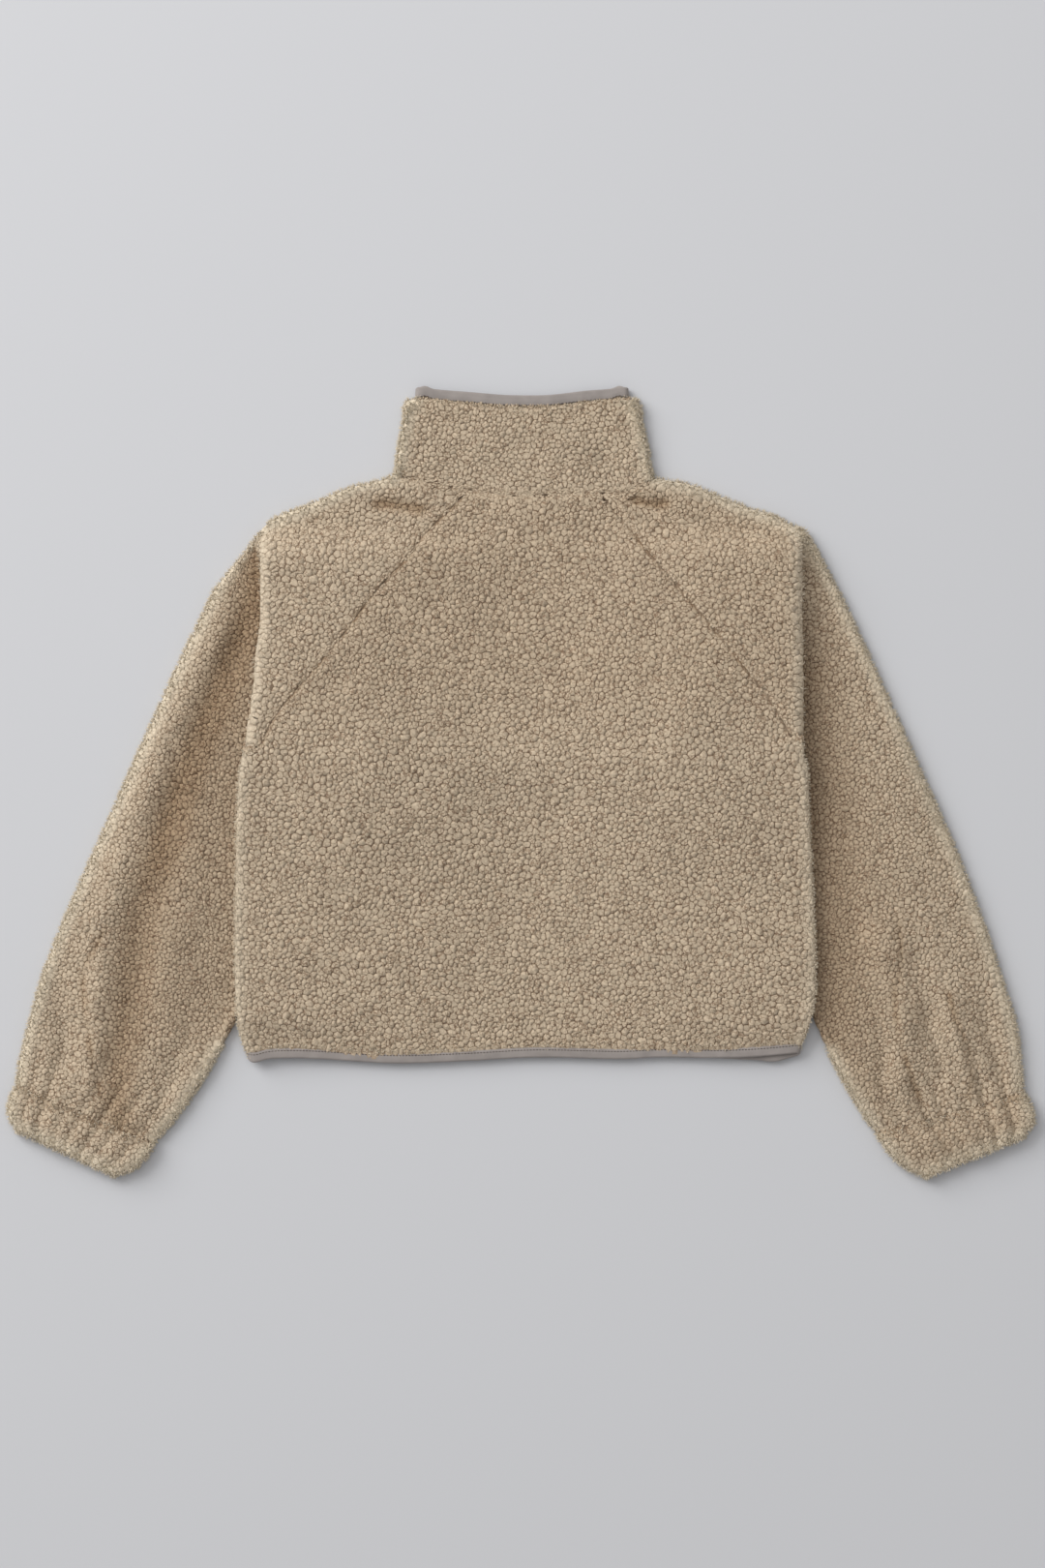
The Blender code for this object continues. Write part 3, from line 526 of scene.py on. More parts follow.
        # Seen from s, t1 lies on the left of the way to the other place and t2 on its right.
        hill = ~is_rim[s]
        s_, a_, b_, m_ = s[hill], t1[hill], t2[hill], m[hill]
        r1, r2 = ring(a_, s_), ring(b_, s_)
        brinks.append(np.stack([r1, r2], axis=1))
        faces += [np.stack(f, axis=1) for f in ((tops + s_, r2, r1), (r1, r2, m_), (r2, corners + b_, m_), (r1, m_, corners + a_))]
        s_, a_, b_, m_ = s[~hill], t1[~hill], t2[~hill], m[~hill]
        faces += [np.stack(f, axis=1) for f in ((tops + s_, corners + b_, m_), (tops + s_, m_, corners + a_))]
    faces.append(np.stack([tops + oa, tops + ob, corners + ot], axis=1))
    faces = np.concatenate(faces)
    points = np.concatenate(pos)
    data = [np.concatenate(x) for x in (crev, painted_rim_light, shade, tone)]
    if hair:
        # Loose fibres stand where the pile is seen against what lies behind the garment.
        edgewise = data[1] ** 3 + np.concatenate(fringe)
        edgewise[mids : mids + len(ea)] = 0
        chosen = rng.choice(len(points), hair, p=edgewise / edgewise.sum())
        HAIR[name] = (points[chosen], np.concatenate(nrm)[chosen])

    # The plain inner side and the rim. The outer faces run round the flat layout's rim one
    # way, and the others are turned to match it.
    coarse = inner[np.ix_(rr, cc)]
    nr, nc = len(rr), len(cc)
    base = len(points)
    grid_id = base + np.arange(nr * nc).reshape(nr, nc)
    q = np.stack([grid_id[:-1, :-1], grid_id[:-1, 1:], grid_id[1:, 1:], grid_id[1:, :-1]], axis=-1).reshape(-1, 4)
    inner_faces = np.concatenate([q[:, [0, 1, 2]], q[:, [0, 2, 3]]])
    rim_in = np.array([grid_id[r, c] for r, c in rim])
    rim_out = tops + np.arange(n_rim)
    nxt = np.roll(np.arange(n_rim), -1)
    rim_faces = np.concatenate([
        np.stack([rim_out, rim_in, rim_in[nxt]], axis=1),
        np.stack([rim_out, rim_in[nxt], rim_out[nxt]], axis=1),
    ])
    turn = np.sum(rim_flat[:, 0] * rim_flat[nxt, 1] - rim_flat[nxt, 0] * rim_flat[:, 1])
    if turn < 0:
        rim_faces, inner_faces = rim_faces[:, ::-1], inner_faces[:, ::-1]
    points = np.concatenate([points, coarse.reshape(-1, 3)])
    extra = nr * nc
    data = [np.concatenate([d, np.full(extra, v)]) for d, v in zip(data, (0.5, 0.0, 0.0, 0.5))]
    faces = np.concatenate([faces, rim_faces, inner_faces])
    u, v, w = points[faces[:, 0]], points[faces[:, 1]], points[faces[:, 2]]
    if np.sum(u * np.cross(v, w)) < 0:
        faces = faces[:, ::-1]
    if floor is not None:
        points[:, 2] = np.maximum(points[:, 2], floor)
    # A curl's top breaks off into most of its crevices, and is round toward the others.
    brinks = np.concatenate(brinks)
    brinks = brinks[rng.uniform(0, 1, len(brinks)) < 0.7]
    return make(name, points, faces, data, brinks=brinks)


def make(name, points, faces, data=None, smooth=True, brinks=None):
    """A mesh object from points in millimetres of the tables' frame."""
    mesh = bpy.data.meshes.new(name)
    where = ((np.asarray(points) - OUTLINE_MIDDLE) * 0.001).astype(np.float32)
    faces = np.asarray(faces, np.int32)
    mesh.vertices.add(len(where))
    mesh.vertices.foreach_set("co", where.ravel())
    sides = faces.shape[1]
    mesh.loops.add(faces.size)
    mesh.loops.foreach_set("vertex_index", faces.ravel())
    mesh.polygons.add(len(faces))
    mesh.polygons.foreach_set("loop_start", np.arange(0, faces.size, sides, dtype=np.int32))
    mesh.update(calc_edges=True)
    mesh.validate()
    if data is not None:
        for label, values in zip(("crevice", "rim", "shade", "tone"), data):
            layer = mesh.attributes.new(label, "FLOAT", "POINT")
            layer.data.foreach_set("value", np.asarray(values, np.float32))
    if smooth:
        mesh.shade_smooth()
    if brinks is not None:
        ends = np.empty(len(mesh.edges) * 2, np.int32)
        mesh.edges.foreach_get("vertices", ends)
        ends = np.sort(ends.reshape(-1, 2), axis=1).astype(np.int64)
        wanted = np.sort(brinks, axis=1).astype(np.int64)
        many = len(where)
        sharp = np.isin(ends[:, 0] * many + ends[:, 1], wanted[:, 0] * many + wanted[:, 1])
        mesh.attributes.new("sharp_edge", "BOOLEAN", "EDGE").data.foreach_set("value", sharp)
    obj = bpy.data.objects.new(name, mesh)
    bpy.context.scene.collection.objects.link(obj)
    tris = sum(len(p.vertices) - 2 for p in mesh.polygons)
    MESHES[name] = tris
    return obj


def distance_to(line, x, y):
    """Least distance from each place to a line of points."""
    line = np.asarray(line, float)
    best = np.full(np.shape(x), 1e9)
    for (ax, ay), (bx, by) in zip(line[:-1], line[1:]):
        dx, dy = bx - ax, by - ay
        u = np.clip(((x - ax) * dx + (y - ay) * dy) / max(dx * dx + dy * dy, 1e-9), 0, 1)
        best = np.minimum(best, np.hypot(x - ax - u * dx, y - ay - u * dy))
    return best


# ---- garment's outline seen from above, for the painted highlight along the rim of its pile and for its looser pile there ---
def outline_lines():
    """Lines of the outer silhouette and of the body's own edge."""
    lines = []
    for side, sign in SIDES.items():
        table = SLEEVE_LEFT if side == "left" else SLEEVE_RIGHT
        shoulder = OUTLINE_LEFT if side == "left" else OUTLINE_RIGHT
        cuff = CUFF_LEFT if side == "left" else CUFF_RIGHT
        outer = list(zip(shoulder["x"], shoulder["y"])) + list(zip(table["outer_x"], table["outer_y"])) + list(zip(cuff["outer_x"], cuff["outer_y"]))
        inner = [p for p in zip(table["inner_x"], table["inner_y"]) if p[1] < -210] + list(zip(cuff["inner_x"], cuff["inner_y"]))
        lines += [outer, inner, [outer[-1], inner[-1]]]
        collar_side = []
        for v in np.linspace(0, 1, 6):
            x = float(along(COLLAR_SIDE, side, v, key="v"))
            y0 = float(along(COLLAR_SEAM, "y", x, key="x"))
            y1 = float(along(COLLAR_TOP, "y", x, key="x"))
            collar_side.append((x, y0 + (y1 - y0) * v))
        lines.append(collar_side)
    return lines


SILHOUETTE = outline_lines()


def rim_share(x, y):
    best = np.full(np.shape(x), 1e9)
    for line in SILHOUETTE:
        best = np.minimum(best, distance_to(line, x, y))
    return np.clip(1 - best / 13.0, 0, 1)


# ---- body ---------------------------------------------------------------------------------------
ROLL = HALF * math.radians(82)


def roll_surface(x, y, facing):
    """Middle of the body's layers at an unrolled place, and the way out: past the side's
    fold the place goes round it."""
    x, y = np.broadcast_arrays(np.asarray(x, float), np.asarray(y, float))
    first_l = edge("left", y) + HALF
    first_r = edge("right", y) - HALF
    held = np.clip(x, first_l, first_r)
    mid, n = surface(held, y)
    over = np.where(x < first_l, first_l - x, np.where(x > first_r, x - first_r, 0.0))
    sign = np.where(x < first_l, -1.0, 1.0)
    angle = over / HALF
    out = np.stack([sign, np.zeros_like(sign), np.zeros_like(sign)], axis=-1)
    out = unit(out - n * np.sum(out * n, axis=-1, keepdims=True))
    way = n * (facing * np.cos(angle))[..., None] + out * np.sin(angle)[..., None]
    return mid, unit(way)


def body_grid(sides, front, rows_low, rows_high, columns):
    """Unrolled places of a body panel as a grid, from below the hem's tape up to the neck."""
    raglan_w = np.linspace(1, NECK_SHARE, rows_high)
    seams = {s: first_section(s, front, raglan_w) for s in SIDES}
    top = {s: seams[s][-1] for s in SIDES}
    shelf = {s: ARMPIT[s] - HALF - 1.6 for s in SIDES}
    ends = []  # for each row: ((x, y) left, (x, y) right, share of hem shape)
    tuck = (-6.4, -3.2, 0.0, 0.7, 1.6)
    for more in tuck:
        ends.append(("hem", more))
    for t in np.linspace(0, 1, rows_low)[1:]:
        ends.append(("low", t))
    for k in (0.35, 0.7):
        ends.append(("notch", k))
    for k in range(rows_high):
        ends.append(("seam", k))
    # Columns lie close together at a side fold.
    near_end = 1 / np.minimum(1, 0.16 + np.abs(np.linspace(0, 1, 400) - (0.0 if sides[0] == "left" else 1.0)) * 12)
    if len(sides) == 2:
        near_end = near_end + near_end[::-1]
    run = np.concatenate([[0], np.cumsum((near_end[1:] + near_end[:-1]) / 2)])
    t_cols = np.interp(np.linspace(0, 1, columns), run / run[-1], np.linspace(0, 1, 400))
    grid_x, grid_y = [], []
    for kind, value in ends:
        row = {}
        for s, sign in SIDES.items():
            if kind == "hem":
                y = hem_y(sign * 255.0, front) + value
                x = edge(s, y) + sign * (ROLL - HALF)
            elif kind == "low":
                y0 = hem_y(sign * 255.0, front) + 1.6
                y = y0 + (shelf[s] - 0.8 - y0) * value
                x = edge(s, y) + sign * (ROLL - HALF)
            elif kind == "notch":
                y = shelf[s] - 0.8 + 0.8 * value
                x0 = edge(s, y) + sign * (ROLL - HALF)
                x1 = seams[s][0][0] - sign * 0.6
                x = x0 + (x1 - x0) * ease(value)
            else:
                x, y = seams[s][value]
                x = x - sign * 0.15
                if value == 0:
                    y = max(y - 0.3, shelf[s] + 0.2)
                if value == len(raglan_w) - 1:
                    y = y - 0.3
            row[s] = (float(x), float(y))
        (xl, yl), (xr, yr) = row["left"], row["right"]
        if len(sides) == 1:
            if sides[0] == "left":
                xs = xl + (CENTRE - FRONT_GAP / 2 - xl) * t_cols
            else:
                xs = CENTRE + FRONT_GAP / 2 + (xr - CENTRE - FRONT_GAP / 2) * t_cols
        else:
            xs = xl + (xr - xl) * t_cols
        line = yl + (yr - yl) * (xs - xl) / (xr - xl)
        if kind == "hem":
            ys = hem_y(np.clip(xs, -258, 262), front) + value
        elif kind == "seam":
            # The rows take the neck seam's curve more and more, and end on the raglan seams.
            u = value / (rows_high - 1)
            share = (xs - xl) / (xr - xl)
            x_neck = top["left"][0] + (top["right"][0] - top["left"][0]) * share
            neck = along(COLLAR_SEAM, "y", x_neck, key="x") - SEAM / 2 - 0.35 - (front_drop(x_neck) if front else 0.0)
            chord = top["left"][1] + (top["right"][1] - top["left"][1]) * share - 0.3
            ys = yl + (yr - yl) * share + (neck - chord) * ease((u - 0.35) / 0.65)
        else:
            near = ease((-line - 185.0) / 45.0)
            ys = line + (hem_y(np.clip(xs, -258, 262), front) + 249.0) * near * (1 if kind == "low" else 0)
        grid_x.append(xs)
        grid_y.append(ys)
    return np.array(grid_x), np.array(grid_y), seams


def neck_share(x, y):
    """Distance below the neck seam."""
    return along(COLLAR_SEAM, "y", x, key="x") - y


def body_piece(name, sides, front, reach_low, pile_height, step, seed):
    facing = -1.0 if front else 1.0
    columns = 120 if len(sides) == 2 else 62
    x, y, seams = body_grid(sides, front, 58, 54, columns)
    seam_line = [[tuple(p) for p in seams[s]] for s in sides]

    def place(x, y):
        """Outer and inner side of the cloth at an unrolled place, and what shapes them there."""
        mid, way = roll_surface(x, y, facing)
        above_hem = y - hem_y(np.clip(x, -258, 262), front)
        lip = 1 - ease((above_hem - 0.2) / 2.2)
        half_out = WALL / 2 * (1 - lip) + LIP / 2 * lip
        near = np.full(x.shape, 1e9)
        for line in seam_line:
            near = np.minimum(near, distance_to(line, x, y))
        neck_near = abs(along(COLLAR_SEAM, "y", x, key="x") - (front_drop(x) if front else 0.0) - y)
        near = np.minimum(near, neck_near)
        sunk = (0.75 + 0.75 * noise2(x, y, 9, 61)) * (1 - ease(near / 5.0))
        outer = mid + way * (LAYER + half_out - sunk - (0.3 if front else 0.2))[..., None]
        if not front:
            # Creases and the gentle mottling of a soft sheet, less toward its side folds.
            shape = 0.38 * relief(BODY_RELIEF, x, y) * ease(near / 14.0) * ease((above_hem - 4) / 22.0)
            shape = shape + 0.18 * noise2(x, y, 46, 11) * ease(near / 14.0) * ease(above_hem / 20)
            outer[..., 2] += shape * np.abs(way[..., 2])
        inner = mid + way * (LAYER - half_out + 0.1)[..., None]
        if not front:
            high = spare(x, y) * np.clip(way[..., 2], 0, 1)
            outer[..., 2] += high
            inner[..., 2] += high
        return outer, inner, way, above_hem, near

    outer, inner, way, above_hem, near = place(x, y)
    e = 0.4
    n = unit(np.cross(place(x + e, y)[0] - place(x - e, y)[0], place(x, y + e)[0] - place(x, y - e)[0]))
    n = n * np.sign(np.sum(n * way, axis=-1, keepdims=True))
    side_l = (x - edge("left", y))
    side_r = (edge("right", y) - x)
    side = np.minimum(side_l if "left" in sides else side_r, side_r if "right" in sides else side_l)
    base_reach = reach_low * (1 - 0.22 * (1 - ease(near / 9.0)))
    base_reach = base_reach * (1 + 0.12 * noise2(x, y, 38, 5))
    reach = np.where(above_hem < 0.1, 11.0, base_reach)
    pile = pile_height * (1 - 0.5 * (1 - ease((near - 1.5) / 6.0))) * (1 - 0.35 * (1 - ease(side / 14.0)))
    pile = pile * ease((above_hem + 0.3) / 2.0)
    # The whole hidden part lies on other cloth.
    # Painted highlight: the pile is lightened toward the body's side folds.
    rim = np.clip(1 - side / 13.0, 0, 1) * 0.5
    fringe = 0.10 * np.exp(-((above_hem - 2.6) / 1.6) ** 2) * (side > 6)
    groove = 0.10 + 0.62 * np.clip(noise2(x, y, 15, 77) + 0.5, 0, 1) * (neck_share(x, y) > 3.0)
    # Painted shade: the upper back is darkened a little, less toward its side folds.
    painted_shade_upper_back = 0.13 * ease((y - 20) / 90.0) * (1 - rim)
    tint = np.stack([rim, np.maximum(groove * (1 - ease(near / 4.4)), painted_shade_upper_back), fringe], axis=-1)
    flat = np.stack([x, y], axis=-1)
    sink = np.where(above_hem < 2.0, 0.5, 0.05)
    return plush(name, outer, n, flat, inner, reach, pile, sink, tint, step, seed, exact=lambda x, y: place(x, y)[0], hair=0 if front else 2600)


# ---- sleeves --------------------------------------------------------------------------------------
ANGLES = np.radians((72, 54, 36, 18, 0, -18, -36, -54, -72))


def smooth_table(table, key, at):
    """A column of stations on a smooth curve through all of them, by its place in the table."""
    ys = np.array(table[key], float)
    slope = np.gradient(ys)
    i = np.clip(at.astype(int), 0, len(ys) - 2)
    t = at - i
    return (
        (1 + 2 * t) * (1 - t) ** 2 * ys[i] + t * (1 - t) ** 2 * slope[i]
        + t * t * (3 - 2 * t) * ys[i + 1] + t * t * (t - 1) * slope[i + 1]
    )


def turn2(v, angle):
    c, s = math.cos(angle), math.sin(angle)
    return np.stack([v[..., 0] * c - v[..., 1] * s, v[..., 0] * s + v[..., 1] * c], axis=-1)


def sleeve_grid(side):
    """Middle of a sleeve's two layers, as rows from its seam to its cuff, its flat layout, and
    which rows are which."""
    sign = SIDES[side]
    table = SLEEVE_LEFT if side == "left" else SLEEVE_RIGHT
    outline = OUTLINE_LEFT if side == "left" else OUTLINE_RIGHT
    across = np.concatenate([np.linspace(0, NECK_SHARE, 12)[:-1], np.linspace(NECK_SHARE, 1, 46)])
    inset = TURN + HALF
    rows, ups, kinds, drops, layout = [], [], [], [], []

    def out_y(inward):
        x = edge(side, 236.0) - sign * inward
        return along(outline, "y", x * 1.0, key="x") - HALF - 1.2

    y_start = out_y(inset)
    y_line = y_start + (ARMPIT[side] - y_start) * across
    line = np.stack([edge(side, y_line) - sign * inset, y_line], axis=1)
    seam_back = first_section(side, False, across)
    seam_front = first_section(side, True, across)
    x_a, x_b = seam_back[0, 0], line[0, 0]

    def outline_at(x_top):
        return float(along(outline, "y", x_top, key="x")) - HALF / math.cos(0.42)

    gap_a, gap_b = seam_back[0, 1] - outline_at(x_a), line[0, 1] - outline_at(x_b)
    fans = np.concatenate([[0, 0.012, 0.03, 0.055], np.linspace(0.085, 0.94, 25), [0.962, 0.978, 0.99, 1.0]])
    for t in fans:
        x_top = x_a + (x_b - x_a) * t
        top = np.array((x_top, outline_at(x_top) + gap_a * (1 - ease(t / 0.12)) + gap_b * ease((t - 0.88) / 0.12)))
        end = seam_back[-1] + (line[-1] - seam_back[-1]) * t
        w = across[:, None]
        patch = (
            (1 - t) * seam_back + t * line + (1 - w) * top + w * end
            - (1 - w) * ((1 - t) * seam_back[0] + t * line[0])
            - w * ((1 - t) * seam_back[-1] + t * line[-1])
        )
        m, up = surface(patch[:, 0], patch[:, 1])
        rows.append(m)
        ups.append(up)
        kinds.append(("fan", t))
        drops.append((seam_front - seam_back) * (1 - ease(t / 0.8)))
        layout.append(patch)

    pivot = line[0] + np.array((0.0, 4.0))
    spread = (2 * math.pi * TURN + PLEAT_DEPTH[side] - 2 * inset) / (pivot[1] - ARMPIT[side])
    spread = spread * -sign  # turning outward and up from straight down

    def turned(part, fraction):
        y_top = out_y(inset - 0.9 * (part + fraction))
        low = ARMPIT[side] if part < 1 else FOLD_END[side]
        if part == 1:
            low = ARMPIT[side] + (FOLD_END[side] - ARMPIT[side]) * fraction
        y = y_top + (low - y_top) * across
        angle, radius, straight = pleat(side, y)
        rise = 2 * radius * (1 - np.cos(angle)) + straight * np.sin(angle)
        u, height = -inset * np.ones_like(y), HALF + rise
        arc = angle * radius
        total = 2 * arc + straight
        if part == 0:
            a = angle * fraction
            u = u + radius * np.sin(a)
            height = height - radius * (1 - np.cos(a))
            gone = arc * fraction
        else:
            u = u + radius * np.sin(angle)
            height = height - radius * (1 - np.cos(angle))
            a = angle
            share = fraction if part == 1 else 1.0
            u = u + straight * share * np.cos(angle)
            height = height - straight * share * np.sin(angle)
            gone = arc + straight * share
            if part == 2:
                a = angle * (1 - fraction)
                u = u + radius * (np.sin(angle) - np.sin(a))
                height = height - radius * (np.cos(a) - np.cos(angle))
                gone = arc + straight + arc * fraction
        m = np.stack([edge(side, y) + sign * u, y, height], axis=1)
        n = np.stack([sign * np.sin(a), np.zeros_like(y), np.cos(a)], axis=1)
        start = np.stack([edge(side, y) - sign * inset, y], axis=1)
        # Flat layout: round the top of the pleat, as far as the cloth has gone.
        far = np.maximum(pivot[1] - y, 6.0)
        g = gone / far
        d = start - pivot
        turned_d = np.stack([
            d[:, 0] * np.cos(-sign * g * -1) - d[:, 1] * np.sin(-sign * g * -1),
            d[:, 0] * np.sin(-sign * g * -1) + d[:, 1] * np.cos(-sign * g * -1),
        ], axis=1)
        return m, n, pivot + turned_d, g

    last = None
    for part, fractions in ((0, np.linspace(0, 1, 15)[1:]), (1, np.linspace(0, 1, 7)[1:]), (2, np.linspace(0, 1, 11)[1:])):
        for fraction in fractions:
            m, n, d, g = turned(part, fraction)
            rows.append(m)
            ups.append(n)
            kinds.append(("turn%d" % part, fraction))
            drops.append(np.zeros((len(across), 2)))
            layout.append(d)
            last = (m, n, d, g)
    # Straight on from the hidden fold to the first station, then along the stations.
    hidden, _, hidden_flat, g = last
    # The sleeve below its pleat is laid flat by one turn about the pleat's top.
    va = hidden_flat[-1] - pivot
    vb = hidden[-1, :2] - pivot
    swing = math.atan2(va[1], va[0]) - math.atan2(vb[1], vb[0])

    def section(k):
        o = np.array([smooth_table(table, "outer_x", np.array([k]))[0], smooth_table(table, "outer_y", np.array([k]))[0]])
        i = np.array([smooth_table(table, "inner_x", np.array([k]))[0], smooth_table(table, "inner_y", np.array([k]))[0]])
        run = unit(i - o)
        a, b = o + run * (HALF + 0.4), i - run * (HALF + 0.4)
        return a + (b - a) * across[:, None]

    first = section(0.0)
    for t in np.linspace(0, 1, 12)[1:-1]:
        flat2 = hidden[:, :2] * (1 - t) + first * t
        rows.append(np.concatenate([flat2, np.full((len(across), 1), HALF)], axis=1))
        ups.append(np.tile((0.0, 0.0, 1.0), (len(across), 1)))
        kinds.append(("join", t))
        drops.append(np.zeros((len(across), 2)))
        own = pivot + turn2(flat2 - pivot, swing)
        off = (hidden_flat - (pivot + turn2(hidden[:, :2] - pivot, swing))) * (1 - ease(t))
        layout.append(own + off)
    for k in np.linspace(0, 7, 86):
        flat2 = section(k)
        rows.append(np.concatenate([flat2, np.full((len(across), 1), HALF)], axis=1))
        ups.append(np.tile((0.0, 0.0, 1.0), (len(across), 1)))
        kinds.append(("tube", k))
        drops.append(np.zeros((len(across), 2)))
        layout.append(pivot + turn2(flat2 - pivot, swing))
    # The last row reaches on to the cuff's seam.
    on = unit(section(7.0)[30] - section(6.8)[30]) * 1.3
    rows.append(rows[-1] + np.append(on, 0.0))
    ups.append(ups[-1])
    kinds.append(("tube", 7.0))
    drops.append(drops[-1])
    layout.append(pivot + turn2(section(7.0) + on - pivot, swing))
    return across, np.array(rows), np.array(ups), kinds, np.array(drops), np.array(layout)


def ring_of_tube(side, across, mid, up, reach_top, reach_low, drop, layout, fan_rows, wall_out):
    """Columns once round a flattened tube from its underarm over the top and back below: outer
    points, ways out, and the flat layout."""
    sign = SIDES[side]
    rows = len(mid)
    outer, out, flat, top_share, inner_pts = [], [], [], [], []
    a0, a1 = layout[0, 0], layout[-1, 0]
    axis = unit(a1 - a0)
    nrm = np.array((-axis[1], axis[0]))
    if np.dot(nrm, layout[len(mid) // 2, -1] - layout[len(mid) // 2, 0]) > 0:
        nrm = -nrm
    for r in range(rows):
        m, n = mid[r], up[r]
        tangent = unit(np.gradient(m, axis=0))
        if r == 0:
            tangent[0] = (-sign, 0.0, 0.0)
        d_top, d_low = reach_top[r][:, None], reach_low[r][:, None]
        top, under = m + n * d_top, m - n * d_low
        low_m, low_n = m, n
        if r < fan_rows:
            lower, lower_up = surface(m[:, 0] + drop[r][:, 0], m[:, 1] + drop[r][:, 1])
            under = lower - lower_up * d_low
            low_m, low_n = lower, lower_up
        cap_end = [(m[-1], math.cos(a) * tangent[-1] + math.sin(a) * n[-1]) for a in ANGLES]
        cap_start = [(m[0], -math.cos(a) * tangent[0] + math.sin(a) * n[0]) for a in ANGLES]
        h1, h0 = (d_top[-1] + d_low[-1])[0] / 2, (d_top[0] + d_low[0])[0] / 2
        pts, ways = [], []
        zero = len(ANGLES) // 2
        # From the underarm's middle up over its rounding.
        for centre, way in cap_end[: zero + 1][::-1]:
            pts.append(centre + way * h1)
            ways.append(way)
        for j in range(len(across) - 1, -1, -1):
            pts.append(top[j])
            ways.append(n[j])
        for centre, way in cap_start:
            pts.append(centre + way * h0)
            ways.append(way)
        for j in range(len(across)):
            pts.append(under[j])
            ways.append(-low_n[j])
        for centre, way in cap_end[zero:][::-1]:
            pts.append(centre + way * h1)
            ways.append(way)
        outer.append(pts)
        out.append(ways)
        # Flat layout of the same columns.
        L = layout[r]
        # Ends of a row near the seam can bend sharply, so their way out is read over a longer stretch.
        way_end = unit(L[-1] - L[-4])
        arc1 = h1 * math.pi / 2 * np.linspace(1, 0, zero + 2)[:-1]
        row = [L[-1] + way_end * s for s in arc1]
        row += [L[j] for j in range(len(across) - 1, -1, -1)]
        gap = 2 * h0 * math.pi / 2
        start = L[0]
        row += [start + nrm * gap * (i + 1) / (len(ANGLES) + 1) for i in range(len(ANGLES))]
        rel = (L + (drop[r] if r < fan_rows else 0.0)) - L[0]
        mirrored = rel - 2 * (rel @ nrm)[:, None] * nrm
        low_row = start + nrm * gap + mirrored
        row += [low_row[j] for j in range(len(across))]
        way_end2 = unit(low_row[-1] - low_row[-4])
        row += [low_row[-1] + way_end2 * s for s in arc1[::-1]]
        flat.append(row)
        top_share.append([1.0] * (zero + 1 + len(across)) + [0.7] * len(ANGLES) + [0.0] * (len(across) + zero + 1))
    flat = np.array(flat)
    # The layout is bowed a little along the tube, so that none of its rim is a straight line.
    s = np.linspace(0, 1, flat.shape[1])
    flat = flat + axis * (40 * s * (1 - s))[None, :, None]
    return np.array(outer), unit(np.array(out)), flat, np.array(top_share)


def gathers(side, across, v):
    """Heights of the gathers on both sides of a cuff's seam: rounded swells between narrow
    tucks, unevenly spaced. v is negative on the sleeve and positive on the cuff."""
    tucks = (0.07, 0.20, 0.36, 0.47, 0.62, 0.74, 0.90) if side == "left" else (0.10, 0.26, 0.38, 0.55, 0.66, 0.83, 0.94)
    total = np.zeros(np.broadcast_shapes(np.shape(across), np.shape(v)))
    for i, at in enumerate(tucks):
        slant = 0.012 * math.sin(i * 2.3) * v
        d = (across - at - slant) * 120.0
        deep = 4.4 + 1.4 * math.sin(i * 1.9 + 0.5)
        deep = deep * (0.72 if side == "left" else 1.2)
        total = total - deep * np.exp(-np.abs(d / 4.0) ** 1.3)
    return total + 2.0


